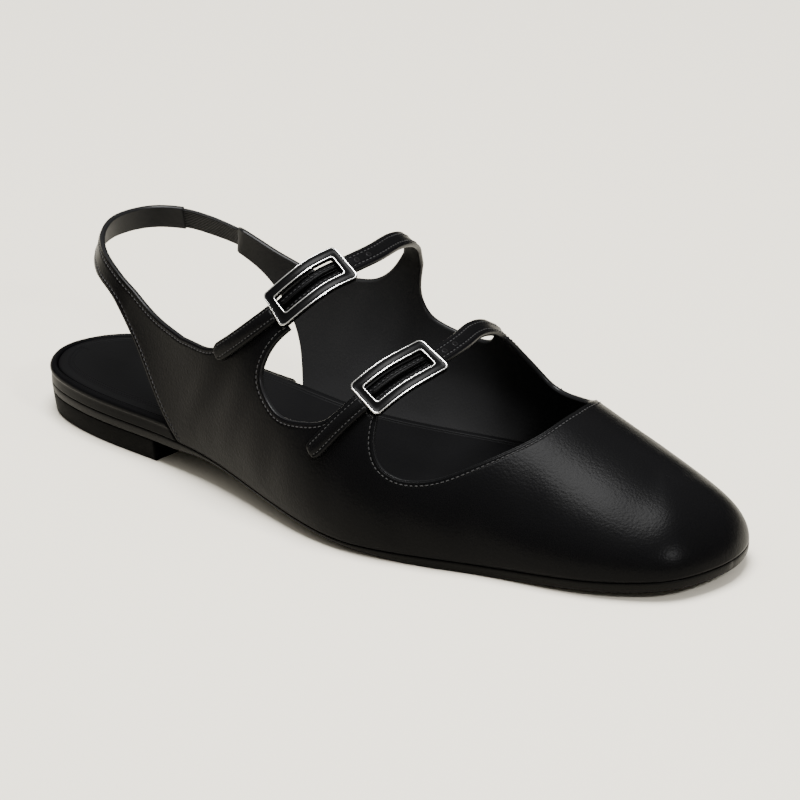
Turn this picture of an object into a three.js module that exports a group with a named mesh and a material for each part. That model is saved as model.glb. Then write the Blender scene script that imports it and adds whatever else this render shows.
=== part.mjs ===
// A flat slingback shoe with two buckled instep straps, for the right foot.
// Millimetres. X runs from the heel to the toe, Y to the wearer's left (the inner side), Z up.

import * as THREE from "three";

// Main sizes
const shoeLength = 249;
const ballWidth = 87;
const instepHeight = 75;
const heelLift = 6.8;
const soleThickness = 3;
const toeSpring = 3.8;
const fitGap = 0.3;

// Upper
const upperWall = 1.6;
const upperSteps = 8;
const wallStepsPerRow = 2;
const toeStepsPerRow = 4;
const ridgeFall = 0.3;
const slingSway = 5;
const swayFrom = 88;
const swayTo = 46;
const swayLow = 12;
const swayHigh = 46;

// Straps and buckles
const strapWidth = 5.8;
const strapThickness = 1.7;
const strapLanes = 3;
const strapSteps = 16;
const strapRootBlend = 4;
const strapEndGirth = { rear: 0.335, front: 0.36 };
const rearStrapRow = 10;
const frontStrapRow = 20;
const chapeSteps = 12;
const chapeShares = [-1, -0.4, 0.4, 1];
const tipWidth = 0.8;
const buckleGirth = { rear: 0.23, front: 0.245 };
const buckleLength = 26;
const buckleWidth = 13;
const buckleBar = 2.9;
const buckleThickness = 1.8;
const buckleOuterCorner = 1.6;
const buckleInnerCorner = 0.8;
const prongWidth = 1.3;
const prongThickness = 1.5;
const prongSteps = 8;
const buckleCornerSteps = 4;
const buckleSideSteps = 6;

// Sling: the middle of its band, as shares of the length, the ball width and the instep height,
// from the inner quarter round the heel to the outer quarter
const slingRows = [
  [0.186, 0.364, 0.684],
  [0.142, 0.36, 0.707],
  [0.101, 0.336, 0.722],
  [0.064, 0.266, 0.726],
  [0.05, 0.126, 0.727],
  [0.075, -0.044, 0.732],
  [0.114, -0.166, 0.712],
  [0.159, -0.228, 0.66],
];
const slingWidth = 7.4;
const slingLean = 0.3;
const slingGap = 0.045;
const slingInnerGap = 0.1;
const slingSteps = 24;
const medialArmSteps = 8;
const leatherEndRow = 2;
const elasticStartRow = 0;
const elasticWidth = 6.6;
const elasticThickness = 1.1;
const elasticSteps = 8;

// Sole, heel, insole and rand
const soleUndercut = 0.5;
const waistUndercut = 4;
const waistThinning = 0.8;
const waistRear = [66, 96];
const waistFront = [178, 128];
const soleSteps = [
  [0, 3, 9],
  [3, 12, 34],
  [12, 17, 15],
];
const heelInset = 0.3;
const heelDraft = 0.9;
const heelLateralRow = 4.9;
const heelMedialRow = 5.05;
const insoleInset = 2.2;
const insoleFront = 3.6;
const insoleRear = 5.5;
const insoleRiseFrom = 60;
const insoleRiseTo = 110;
const insoleDish = 0.9;
const insoleDishWidth = 25;
const insoleEdge = 0.9;
const insoleEdgeWidth = 3;
const insoleShares = [0, 0.05, 0.2, 0.5, 0.8, 0.95, 1];
const randHeight = 5.4;
const randLateralEnd = 5.4;
const randMedialEnd = 5.68;
const randSlant = 0.22;
const randMedialDrop = 0.22;
const randDropFrom = 0.5;
const randSteps = 44;
// Places on the rand's profile: how far out past the sole's edge, and how high above it. Its ends are
// closed by triangles that fan out from one of them.
const randFanFrom = 6;
const randProfile = [
  [0, 0.3],
  [0, 3.2],
  [0.4, 3.9],
  [0.2, 4.7],
  [-0.5, 5.2],
  [-1.4, 5.4],
  [-1.9, 5],
  [-1.9, 0.3],
];

// The last, one row for each section from the heel to the toe.
// along: where the section meets the sole's edge, as a share of the shoe's length.
// lateral, medial: how far out the sole's edge lies, as shares of the ball width.
// lift, spring: how high the edge lies, as shares of the heel lift and of the toe spring.
// ridgeAlong, ridgeSide, ridgeUp: the top line's place, as shares of length, ball width and instep height.
// The last six shape the wall of either side: how far it swells past the sole's edge (a share of the
// ball width), how steeply it rises (a share of its height) and how broad its crown is (a share of its width).
const sectionColumns = [
  "along", "lateral", "medial", "lift", "spring", "ridgeAlong", "ridgeSide", "ridgeUp",
  "lateralSwell", "lateralRise", "lateralCrown", "medialSwell", "medialRise", "medialCrown",
];
const sectionRows = [
  [0.0, 0.0, 0.0, 1.0, 0.0, 0.168, 0.0, 1.25, -0.1, 0.38, 0.6, -0.1, 0.38, 0.6],
  [0.009, 0.098, 0.106, 1.0, 0.0, 0.169, 0.0, 1.25, -0.09, 0.38, 0.6, -0.09, 0.38, 0.6],
  [0.036, 0.195, 0.205, 1.0, 0.0, 0.175, 0.0, 1.245, -0.06, 0.38, 0.62, -0.06, 0.38, 0.62],
  [0.085, 0.264, 0.267, 1.0, 0.0, 0.19, 0.0, 1.235, -0.02, 0.38, 0.7, 0.0, 0.38, 0.75],
  [0.16, 0.309, 0.282, 1.0, 0.0, 0.23, 0.0, 1.2, 0.01, 0.36, 0.8, 0.05, 0.38, 0.9],
  [0.25, 0.333, 0.262, 1.0, 0.0, 0.29, 0.005, 1.155, 0.04, 0.32, 0.85, 0.12, 0.36, 1.1],
  [0.34, 0.372, 0.259, 0.88, 0.0, 0.365, 0.025, 1.09, 0.06, 0.28, 0.9, 0.15, 0.34, 2.1],
  [0.43, 0.439, 0.301, 0.55, 0.0, 0.445, 0.045, 1.015, 0.05, 0.26, 0.95, 0.155, 0.32, 2.1],
  [0.52, 0.506, 0.393, 0.22, 0.0, 0.53, 0.045, 0.855, 0.04, 0.25, 0.9, 0.12, 0.3, 1.5],
  [0.6, 0.524, 0.471, 0.0, 0.0, 0.61, 0.03, 0.7, 0.035, 0.27, 0.84, 0.055, 0.32, 0.92],
  [0.68, 0.478, 0.467, 0.0, 0.0, 0.685, 0.035, 0.61, 0.045, 0.34, 0.74, 0.045, 0.38, 0.72],
  [0.76, 0.411, 0.412, 0.0, 0.05, 0.757, 0.04, 0.545, 0.045, 0.4, 0.66, 0.04, 0.43, 0.64],
  [0.835, 0.37, 0.382, 0.0, 0.27, 0.822, 0.045, 0.465, 0.035, 0.44, 0.6, 0.03, 0.45, 0.57],
  [0.895, 0.328, 0.345, 0.0, 0.48, 0.868, 0.045, 0.41, 0.03, 0.45, 0.58, 0.02, 0.46, 0.53],
  [0.94, 0.27, 0.305, 0.0, 0.67, 0.892, 0.042, 0.377, 0.02, 0.46, 0.56, 0.012, 0.46, 0.51],
  [0.972, 0.203, 0.248, 0.0, 0.84, 0.902, 0.04, 0.367, 0.01, 0.44, 0.54, 0.005, 0.44, 0.5],
  [0.991, 0.105, 0.162, 0.0, 0.95, 0.906, 0.04, 0.363, 0.005, 0.42, 0.52, 0.0, 0.42, 0.5],
  [1.0, -0.037, 0.037, 0.0, 1.0, 0.907, 0.04, 0.361, 0.0, 0.4, 0.5, 0.0, 0.4, 0.5],
];
const lastRow = sectionRows.length - 1;

// A cubic spline through evenly numbered values. Flat ends have no slope, free ends no bend.
function cubicThrough(values, flatEnds) {
  const count = values.length;
  const upper = new Array(count).fill(0);
  const right = new Array(count).fill(0);
  for (let i = 0; i < count; i++) {
    const end = i === 0 || i === count - 1;
    const below = i === 0 ? 0 : 1;
    const above = i === count - 1 ? 0 : 1;
    let middle = end ? 2 : 4;
    let side = 3 * (values[Math.min(i + 1, count - 1)] - values[Math.max(i - 1, 0)]);
    let next = above;
    let before = below;
    if (end && flatEnds) {
      middle = 1;
      side = 0;
      next = 0;
      before = 0;
    }
    const pivot = middle - before * (i > 0 ? upper[i - 1] : 0);
    upper[i] = next / pivot;
    right[i] = (side - before * (i > 0 ? right[i - 1] : 0)) / pivot;
  }
  const slopes = new Array(count).fill(0);
  for (let i = count - 1; i >= 0; i--) {
    slopes[i] = right[i] - (i < count - 1 ? upper[i] * slopes[i + 1] : 0);
  }
  return (place) => {
    const at = Math.min(Math.max(place, 0), count - 1);
    const i = Math.min(Math.floor(at), count - 2);
    const t = at - i;
    const rise = values[i + 1] - values[i];
    const bendStart = slopes[i] - rise;
    const bendEnd = rise - slopes[i + 1];
    return values[i] + t * rise + t * (1 - t) * ((1 - t) * bendStart + t * bendEnd);
  };
}

const sectionCurves = {};
sectionColumns.forEach((name, column) => {
  const flatEnds = name !== "lateral" && name !== "medial";
  sectionCurves[name] = cubicThrough(sectionRows.map((row) => row[column]), flatEnds);
});

function smoothStep(from, to, value) {
  const t = Math.min(Math.max((value - from) / (to - from), 0), 1);
  return t * t * (3 - 2 * t);
}

// side is -1 on the outer (lateral) side and 1 on the inner (medial) side
function edgePoint(side, row) {
  const out = side < 0 ? sectionCurves.lateral(row) : sectionCurves.medial(row);
  const lift = Math.max(sectionCurves.lift(row), 0);
  const spring = Math.max(sectionCurves.spring(row), 0);
  const height = soleThickness + heelLift * lift + toeSpring * spring;
  return new THREE.Vector3(shoeLength * sectionCurves.along(row), side * ballWidth * out, height);
}

function ridgePoint(row) {
  return new THREE.Vector3(
    shoeLength * sectionCurves.ridgeAlong(row),
    ballWidth * sectionCurves.ridgeSide(row),
    instepHeight * sectionCurves.ridgeUp(row),
  );
}

// The outer face of the upper: up is 0 at the sole's edge and 1 on the ridge
function lastPoint(side, row, up) {
  const name = side < 0 ? "lateral" : "medial";
  const foot = edgePoint(side, row);
  foot.z += fitGap;
  const ridge = ridgePoint(row);
  const outX = foot.x - ridge.x;
  const outY = foot.y - ridge.y;
  const width = Math.hypot(outX, outY);
  const swell = (ballWidth * sectionCurves[name + "Swell"](row)) / width;
  const rise = sectionCurves[name + "Rise"](row) * (ridge.z - foot.z);
  const crown = sectionCurves[name + "Crown"](row);
  const wall = new THREE.Vector3(foot.x + outX * swell, foot.y + outY * swell, foot.z + rise);
  const crownPoint = new THREE.Vector3(
    ridge.x + outX * crown,
    ridge.y + outY * crown,
    ridge.z - ridgeFall * outX * crown,
  );
  const point = new THREE.CubicBezierCurve3(foot, wall, crownPoint, ridge).getPoint(up);
  point.y += slingSway * smoothStep(swayFrom, swayTo, point.x) * smoothStep(swayLow, swayHigh, point.z);
  return point;
}

// The cut of the upper's wall: one row for each line from its lower to its upper border.
// bottomSection, bottomUp: where the line starts: the section (its number in the table above) and how far up.
// topSection, topUp: where it ends. corner is 1 where the border turns sharply.
const lateralCut = [
  [4.14, 0.3, 4.28, 0.384, 1],
  [4.53, 0.243, 4.6, 0.365, 0],
  [4.91, 0.166, 4.91, 0.358, 0],
  [5.22, 0.075, 5.19, 0.361, 0],
  [5.42, 0, 5.44, 0.366, 1],
  [5.53, 0, 5.76, 0.383, 0],
  [5.64, 0, 6.13, 0.41, 0],
  [5.76, 0, 6.45, 0.48, 0],
  [5.88, 0, 6.72, 0.565, 0],
  [5.98, 0, 6.96, 0.64, 1],
  [6.12, 0, 7.34, 0.625, 1],
  [6.4, 0, 7.18, 0.545, 0],
  [6.7, 0, 7.1, 0.467, 0],
  [7.0, 0, 7.16, 0.413, 0],
  [7.3, 0, 7.4, 0.38, 0],
  [7.62, 0, 7.66, 0.383, 0],
  [7.93, 0, 7.98, 0.42, 0],
  [8.15, 0, 8.29, 0.474, 0],
  [8.36, 0, 8.48, 0.55, 0],
  [8.52, 0, 8.58, 0.61, 1],
  [8.8, 0, 9.02, 0.6, 1],
  [8.9, 0, 9.08, 0.545, 0],
  [9.02, 0, 9.17, 0.485, 0],
  [9.2, 0, 9.35, 0.426, 0],
  [9.45, 0, 9.62, 0.396, 0],
  [9.75, 0, 9.9, 0.398, 0],
  [10.05, 0, 10.23, 0.433, 0],
  [10.38, 0, 10.57, 0.51, 0],
  [10.68, 0, 10.88, 0.605, 0],
  [10.98, 0, 11.13, 0.712, 0],
  [11.25, 0, 11.28, 0.84, 0],
  [11.5, 0, 11.33, 1, 1],
];
const medialCut = [
  [4.38, 0.36, 4.48, 0.437, 1],
  [4.8, 0.33, 4.78, 0.425, 0],
  [5.2, 0.27, 5.06, 0.411, 0],
  [5.5, 0.183, 5.32, 0.399, 0],
  [5.63, 0.087, 5.55, 0.39, 0],
  [5.7, 0, 5.77, 0.388, 1],
  [5.86, 0, 6.0, 0.392, 0],
  [6.02, 0, 6.28, 0.408, 0],
  [6.18, 0, 6.6, 0.433, 0],
  [6.33, 0, 6.87, 0.503, 0],
  [6.46, 0, 7.09, 0.614, 1],
  [6.62, 0, 7.32, 0.597, 1],
  [6.84, 0, 7.25, 0.52, 0],
  [7.05, 0, 7.24, 0.455, 0],
  [7.27, 0, 7.34, 0.408, 0],
  [7.54, 0, 7.52, 0.393, 0],
  [7.76, 0, 7.81, 0.399, 0],
  [8.0, 0, 8.1, 0.421, 0],
  [8.24, 0, 8.38, 0.47, 0],
  [8.46, 0, 8.63, 0.585, 0],
  [8.62, 0, 8.79, 0.69, 1],
  [8.86, 0, 9.08, 0.69, 1],
  [8.96, 0, 9.13, 0.622, 0],
  [9.1, 0, 9.22, 0.55, 0],
  [9.28, 0, 9.39, 0.5, 0],
  [9.5, 0, 9.6, 0.45, 0],
  [9.78, 0, 9.88, 0.434, 0],
  [10.08, 0, 10.16, 0.456, 0],
  [10.4, 0, 10.5, 0.505, 0],
  [10.72, 0, 10.8, 0.595, 0],
  [11.02, 0, 11.07, 0.73, 0],
  [11.28, 0, 11.24, 0.87, 0],
  [11.5, 0, 11.33, 1, 1],
];
// Over the toe both sides share these lines
const toeCut = [
  [11.5, 0, 11.33, 1, 1],
  [12.6, 0, 12.5, 1, 0],
  [14.0, 0, 14.0, 1, 0],
  [15.5, 0, 15.5, 1, 0],
  [17.0, 0, 17.0, 1, 1],
];

// Instep straps. Each row is a place on a strap's middle line: the section, and the girth from the ridge
// (0) down to the sole's edge (-1 on the inner side, 1 on the outer side).
const rearStrapPath = [
  [7.205, -0.394],
  [7.3, -0.285],
  [7.38, -0.19],
  [7.43, -0.1],
  [7.46, 0.0],
  [7.44, 0.096],
  [7.33, 0.19],
  [7.22, 0.28],
  [7.07, 0.366],
  [6.85, 0.445],
  [6.54, 0.53],
  [6.25, 0.595],
];
const frontStrapPath = [
  [8.93, -0.31],
  [8.96, -0.2],
  [9.01, -0.1],
  [9.09, 0.0],
  [9.13, 0.09],
  [9.07, 0.17],
  [8.94, 0.265],
  [8.75, 0.397],
  [8.55, 0.505],
  [8.33, 0.61],
  [8.21, 0.656],
];

const shoe = new THREE.Group();
const joinDistance = 1e-3;
const sectionNudge = 0.01;
const outlineNudge = 0.004;
const courseSamples = 400;
const sectionHalvings = 40;
const calf = { color: 0x17171a, roughness: 0.38, metalness: 0 };
const lacquer = { color: 0x1c1c1f, roughness: 0.2, metalness: 0.6 };
const steel = { color: 0xc4c4c0, roughness: 0.15, metalness: 1 };
const rubber = { color: 0x1d1c1b, roughness: 0.7, metalness: 0 };
const elastic = { color: 0x101012, roughness: 0.8, metalness: 0 };

// A sheet gathers points and outward triangles; points at one place are one point
function newSheet() {
  return { points: [], places: new Map(), faces: [], level: new Set() };
}

function addPoint(sheet, point) {
  const key = point.toArray().map((value) => Math.round(value / joinDistance)).join(" ");
  if (!sheet.places.has(key)) {
    sheet.places.set(key, sheet.points.length);
    sheet.points.push(point.clone());
  }
  return sheet.places.get(key);
}

function addTriangle(sheet, a, b, c) {
  if (a !== b && b !== c && c !== a) sheet.faces.push([a, b, c]);
}

// grid is a list of lines of points; seen from outside, lines run on to the right and points upward
function addGrid(sheet, grid, flipped = false) {
  const index = grid.map((line) => line.map((point) => addPoint(sheet, point)));
  for (let i = 0; i + 1 < index.length; i++) {
    for (let j = 0; j + 1 < index[i].length; j++) {
      const [a, b, c, d] = [index[i][j], index[i + 1][j], index[i + 1][j + 1], index[i][j + 1]];
      if (flipped) {
        addTriangle(sheet, a, c, b);
        addTriangle(sheet, a, d, c);
      } else {
        addTriangle(sheet, a, b, c);
        addTriangle(sheet, a, c, d);
      }
    }
  }
  return index;
}

function addMesh(name, finish, points, faces) {
  let volume = 0;
  for (const [a, b, c] of faces) {
    volume += points[a].dot(new THREE.Vector3().crossVectors(points[b], points[c]));
  }
  const outward = volume > 0 ? faces : faces.map(([a, b, c]) => [a, c, b]);
  const geometry = new THREE.BufferGeometry();
  geometry.setAttribute("position", new THREE.Float32BufferAttribute(points.flatMap((p) => p.toArray()), 3));
  geometry.setIndex(outward.flat());
  const mesh = new THREE.Mesh(geometry, new THREE.MeshStandardMaterial(finish));
  mesh.name = name;
  shoe.add(mesh);
}

// A sheet made solid between two offsets along its normals. Points named in sheet.level move level.
function addShell(name, finish, sheet, above, below) {
  const normals = sheet.points.map(() => new THREE.Vector3());
  for (const [a, b, c] of sheet.faces) {
    const first = sheet.points[b].clone().sub(sheet.points[a]);
    const second = sheet.points[c].clone().sub(sheet.points[a]);
    const area = first.cross(second);
    for (const corner of [a, b, c]) normals[corner].add(area);
  }
  const count = sheet.points.length;
  const outer = [];
  const inner = [];
  sheet.points.forEach((point, i) => {
    if (sheet.level.has(i)) normals[i].z = 0;
    normals[i].normalize();
    outer.push(point.clone().addScaledVector(normals[i], above));
    inner.push(point.clone().addScaledVector(normals[i], -below));
  });
  const faces = sheet.faces.map((face) => [...face]);
  const edges = new Set();
  for (const [a, b, c] of sheet.faces) {
    faces.push([a + count, c + count, b + count]);
    for (const [from, to] of [[a, b], [b, c], [c, a]]) edges.add(from + " " + to);
  }
  for (const edge of edges) {
    const [from, to] = edge.split(" ").map(Number);
    if (!edges.has(to + " " + from)) {
      faces.push([to, from, from + count]);
      faces.push([to, from + count, to + count]);
    }
  }
  addMesh(name, finish, [...outer, ...inner], faces);
}

// Border lines of a cut, smooth between corners, with a number of steps for each row of its table
function cutLines(table, stepsFor) {
  const corners = table.map((row, i) => (row[4] === 1 ? i : -1)).filter((i) => i >= 0);
  const lines = [];
  for (let k = 0; k + 1 < corners.length; k++) {
    const part = table.slice(corners[k], corners[k + 1] + 1);
    const curves = [0, 1, 2, 3].map((column) => cubicThrough(part.map((row) => row[column]), false));
    const count = (part.length - 1) * stepsFor(part);
    for (let i = k === 0 ? 0 : 1; i <= count; i++) {
      const place = (i / count) * (part.length - 1);
      lines.push(curves.map((curve) => curve(place)));
    }
  }
  return lines;
}

function wallLine(side, [bottomSection, bottomUp, topSection, topUp]) {
  const line = [];
  for (let j = 0; j <= upperSteps; j++) {
    const t = j / upperSteps;
    const section = bottomSection + (topSection - bottomSection) * t;
    line.push(lastPoint(side, section, bottomUp + (topUp - bottomUp) * t));
  }
  return line;
}

// The band of the sling: lines of points from the inner quarter round the heel to the outer quarter
function slingBand(lateralLines, medialLines) {
  const middles = slingRows.map(
    ([along, side, up]) => new THREE.Vector3(shoeLength * along, ballWidth * side, instepHeight * up),
  );
  const rows = middles.map((middle, i) => {
    const before = middles[Math.max(i - 1, 0)];
    const after = middles[Math.min(i + 1, middles.length - 1)];
    const heading = after.clone().sub(before).setZ(0).normalize();
    const across = new THREE.Vector3(-heading.y * slingLean, heading.x * slingLean, 1).normalize();
    const line = [];
    for (let j = 0; j <= upperSteps; j++) {
      line.push(middle.clone().addScaledVector(across, slingWidth * (j / upperSteps - 0.5)));
    }
    return line;
  });
  const all = [medialLines[1], medialLines[0], ...rows, lateralLines[0], lateralLines[1]];
  const curves = all[0].map((_, j) => new THREE.CatmullRomCurve3(all.map((line) => line[j]), false, "centripetal"));
  return {
    first: 1,
    last: all.length - 2,
    line: (place) => curves.map((curve) => curve.getPoint(place / (all.length - 1))),
  };
}

function bandLines(band, from, to, count) {
  const lines = [];
  for (let i = 0; i <= count; i++) lines.push(band.line(from + ((to - from) * i) / count));
  return lines;
}

// The middle line of an instep strap and its frame: along it, across it (toward the toe) and off the last
function strapCourse(path) {
  const points = [];
  const normals = [];
  for (const [section, girth] of path) {
    const side = girth < 0 ? 1 : -1;
    const up = Math.min(1 - Math.abs(girth), 1 - sectionNudge);
    const ahead = lastPoint(side, section + sectionNudge, up);
    const alongSection = ahead.sub(lastPoint(side, section - sectionNudge, up));
    const above = lastPoint(side, section, up + sectionNudge);
    const alongUp = above.sub(lastPoint(side, section, up - sectionNudge));
    normals.push(alongSection.cross(alongUp).multiplyScalar(-side).normalize());
    points.push(lastPoint(side, section, 1 - Math.abs(girth)));
  }
  const line = new THREE.CatmullRomCurve3(points, false, "centripetal");
  const lean = new THREE.CatmullRomCurve3(normals, false, "centripetal");
  const lengths = [0];
  let previous = line.getPoint(0);
  for (let i = 1; i <= courseSamples; i++) {
    const next = line.getPoint(i / courseSamples);
    lengths.push(lengths[i - 1] + next.distanceTo(previous));
    previous = next;
  }
  const shareAt = (distance) => {
    let i = 1;
    while (i < courseSamples && lengths[i] < distance) i++;
    return (i - (lengths[i] - distance) / (lengths[i] - lengths[i - 1])) / courseSamples;
  };
  const distanceAt = (girth) => {
    let i = 1;
    while (i < path.length - 1 && path[i][1] < girth) i++;
    const t = (girth - path[i - 1][1]) / (path[i][1] - path[i - 1][1]);
    return lengths[Math.round((courseSamples * (i - 1 + t)) / (path.length - 1))];
  };
  const point = (distance, across, height = 0) => {
    const share = shareAt(distance);
    const heading = line.getTangent(share);
    const normal = lean.getPoint(share).normalize();
    const sideways = new THREE.Vector3().crossVectors(normal, heading).normalize();
    return line.getPoint(share).addScaledVector(sideways, across).addScaledVector(normal, height);
  };
  return { point, distanceAt, length: lengths[courseSamples] };
}

// Upper
const rearStrap = strapCourse(rearStrapPath);
const frontStrap = strapCourse(frontStrapPath);
const straps = { rear: rearStrap, front: frontStrap };
const upperSheet = newSheet();
const cutSteps = (part) => (part.length === 2 ? strapLanes : wallStepsPerRow);
const sides = {};
for (const [side, table] of [[-1, lateralCut], [1, medialCut]]) {
  const lines = cutLines(table, cutSteps);
  const toeLines = cutLines(toeCut, () => toeStepsPerRow).slice(1);
  const grid = [...lines, ...toeLines].map((line) => wallLine(side, line));
  const index = addGrid(upperSheet, grid, side > 0);
  lines.concat(toeLines).forEach((line, i) => {
    if (line[1] === 0) upperSheet.level.add(index[i][0]);
  });
  sides[side] = { lines, grid };
}
const band = slingBand(sides[-1].grid, sides[1].grid);
const leatherEnd = band.first + 1 + leatherEndRow;
const elasticStart = band.first + 1 + elasticStartRow;
addGrid(upperSheet, bandLines(band, leatherEnd, band.last, slingSteps));
addGrid(upperSheet, bandLines(band, band.first, elasticStart - slingGap, medialArmSteps));

for (const [name, root] of [["rear", rearStrapRow], ["front", frontStrapRow]]) {
  const strap = straps[name];
  const start = sides[1].lines.findIndex((line) => Math.abs(line[2] - medialCut[root][2]) < 1e-9);
  const rootLine = sides[1].grid.slice(start, start + strapLanes + 1).map((line) => line[upperSteps]);
  const end = strap.distanceAt(strapEndGirth[name]);
  const grid = [rootLine];
  for (let i = 1; i <= strapSteps; i++) {
    const distance = strapRootBlend + ((end - strapRootBlend) * (i - 1)) / (strapSteps - 1);
    const line = [];
    for (let j = 0; j <= strapLanes; j++) {
      line.push(strap.point(distance, strapWidth * (j / strapLanes - 0.5)));
    }
    grid.push(line);
  }
  addGrid(upperSheet, grid);
}
addShell("upper", calf, upperSheet, 0, upperWall);

// Elastic of the sling, level with the middle of the leather's wall
const elasticSheet = newSheet();
const elasticShrink = (1 - elasticWidth / slingWidth) / 2;
const elasticLines = bandLines(band, elasticStart + slingInnerGap, leatherEnd - slingGap, elasticSteps).map((line) =>
  [elasticShrink, 0.5, 1 - elasticShrink].map((share) =>
    line[0].clone().lerp(line[upperSteps], share),
  ),
);
addGrid(elasticSheet, elasticLines);
const elasticDepth = (upperWall - elasticThickness) / 2;
addShell("sling_elastic", elastic, elasticSheet, -elasticDepth, elasticDepth + elasticThickness);

// Outer strap pieces, each from under its buckle down to a rounded tip
for (const name of ["rear", "front"]) {
  const strap = straps[name];
  const centre = strap.distanceAt(buckleGirth[name]);
  const from = centre + buckleLength / 2 + fitGap;
  const to = strap.length;
  const sheet = newSheet();
  const grid = [];
  for (let i = 0; i <= chapeSteps; i++) {
    const t = i / chapeSteps;
    const distance = from + (to - from) * (1 - (1 - t) * (1 - t));
    const left = to - distance;
    const radius = strapWidth / 2;
    const half = left < radius ? Math.sqrt(radius * radius - (radius - left) ** 2) : radius;
    grid.push(chapeShares.map((share) => strap.point(distance, Math.max(half, tipWidth) * share, fitGap)));
  }
  addGrid(sheet, grid);
  addShell("strap_" + name + "_lateral", calf, sheet, strapThickness, 0);
}

// Buckles: a plain frame with rounded corners over each strap, and a prong across its window
function roundedLoop(halfLength, halfWidth, radius) {
  const loop = [];
  const corners = [
    [1, 1, 0],
    [-1, 1, 1],
    [-1, -1, 2],
    [1, -1, 3],
  ];
  for (const [x, y, turn] of corners) {
    for (let i = 0; i <= buckleCornerSteps; i++) {
      const angle = ((turn + i / buckleCornerSteps) * Math.PI) / 2;
      loop.push([
        x * (halfLength - radius) + radius * Math.cos(angle),
        y * (halfWidth - radius) + radius * Math.sin(angle),
      ]);
    }
    if (turn === 0 || turn === 2) {
      for (let i = 1; i < buckleSideSteps; i++) {
        loop.push([x * (halfLength - radius) * (1 - (2 * i) / buckleSideSteps), y * halfWidth]);
      }
    }
  }
  loop.push(loop[0]);
  return loop;
}

for (const name of ["rear", "front"]) {
  const strap = straps[name];
  const centre = strap.distanceAt(buckleGirth[name]);
  const outer = roundedLoop(buckleLength / 2, buckleWidth / 2, buckleOuterCorner);
  const inner = roundedLoop(buckleLength / 2 - buckleBar, buckleWidth / 2 - buckleBar, buckleInnerCorner);
  const ring = outer.map((point, i) =>
    [point, inner[i]].map(([along, across]) => strap.point(centre + along, across, fitGap)),
  );
  const frameSheet = newSheet();
  addGrid(frameSheet, ring);
  addShell("buckle_" + name + "_frame", lacquer, frameSheet, buckleThickness, 0);
  const prongSheet = newSheet();
  const reach = buckleLength / 2 - buckleBar - fitGap;
  const prong = [];
  for (let i = 0; i <= prongSteps; i++) {
    const along = (2 * reach * i) / prongSteps - reach;
    prong.push([-0.5, 0.5].map((share) => strap.point(centre + along, prongWidth * share, fitGap)));
  }
  addGrid(prongSheet, prong);
  addShell("buckle_" + name + "_prong", steel, prongSheet, prongThickness, 0);
}

// Sole: the outline of either side, moved inward, with its height above the floor found from its place along
function sectionAt(x) {
  let low = 0;
  let high = lastRow;
  for (let i = 0; i < sectionHalvings; i++) {
    const middle = (low + high) / 2;
    if (shoeLength * sectionCurves.along(middle) < x) low = middle;
    else high = middle;
  }
  return low;
}

function soleHeight(x) {
  return edgePoint(-1, sectionAt(x)).z;
}

function outlinePoint(side, row, inset) {
  const ahead = edgePoint(side, Math.min(row + outlineNudge, lastRow));
  const heading = ahead.sub(edgePoint(side, Math.max(row - outlineNudge, 0)));
  const point = edgePoint(side, row);
  const length = Math.hypot(heading.x, heading.y);
  if (row === 0) return new THREE.Vector3(point.x + inset, point.y, 0);
  if (row === lastRow) return new THREE.Vector3(point.x - inset, point.y, 0);
  point.x += (side * heading.y * inset) / length;
  point.y -= (side * heading.x * inset) / length;
  return point.setZ(0);
}

function soleRows(from, to) {
  const places = [];
  for (const [start, end, steps] of soleSteps) {
    for (let i = 0; i < steps; i++) places.push(start + ((end - start) * i) / steps);
  }
  places.push(lastRow);
  return places.map((place) => from + ((to - from) * place) / lastRow);
}

// A plate between two surfaces. The pairs hold the two ends of each cross line. top and bottom give the
// height of a point; top is also told how far the point lies from the nearer end of its line.
function addPlate(name, finish, topPairs, bottomPairs, shares, top, bottom) {
  const sheet = newSheet();
  const topGrid = topPairs.map(([outer, inner]) =>
    shares.map((share) => {
      const point = outer.clone().lerp(inner, share);
      return point.setZ(top(point, Math.min(share, 1 - share) * outer.distanceTo(inner)));
    }),
  );
  const bottomGrid = bottomPairs.map(([outer, inner]) =>
    [0, 1].map((share) => {
      const point = outer.clone().lerp(inner, share);
      return point.setZ(bottom(point));
    }),
  );
  const last = shares.length - 1;
  addGrid(sheet, topGrid);
  addGrid(sheet, bottomGrid, true);
  addGrid(sheet, topGrid.map((line, i) => [bottomGrid[i][0], line[0]]));
  addGrid(sheet, topGrid.map((line, i) => [bottomGrid[i][1], line[last]]), true);
  const ends = [0, topGrid.length - 1];
  for (const end of ends) {
    const lower = bottomGrid[end];
    const upperLine = topGrid[end];
    const corner = upperLine.map((point) => addPoint(sheet, point));
    const [left, right] = lower.map((point) => addPoint(sheet, point));
    for (let j = 0; j < last; j++) {
      if (end === 0) addTriangle(sheet, left, corner[j], corner[j + 1]);
      else addTriangle(sheet, left, corner[j + 1], corner[j]);
    }
    if (end === 0) addTriangle(sheet, left, corner[last], right);
    else addTriangle(sheet, left, right, corner[last]);
  }
  addMesh(name, finish, sheet.points, sheet.faces);
}

function outlinePairs(lateralRows, medialRows, inset) {
  return lateralRows.map((row, i) => [outlinePoint(-1, row, inset), outlinePoint(1, medialRows[i], inset)]);
}

// The sole's edge is thin and bevelled under the arch: 1 at the waist, 0 at the heel and the forefoot
function waistShare(x) {
  return smoothStep(waistRear[0], waistRear[1], x) * smoothStep(waistFront[0], waistFront[1], x);
}

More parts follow.
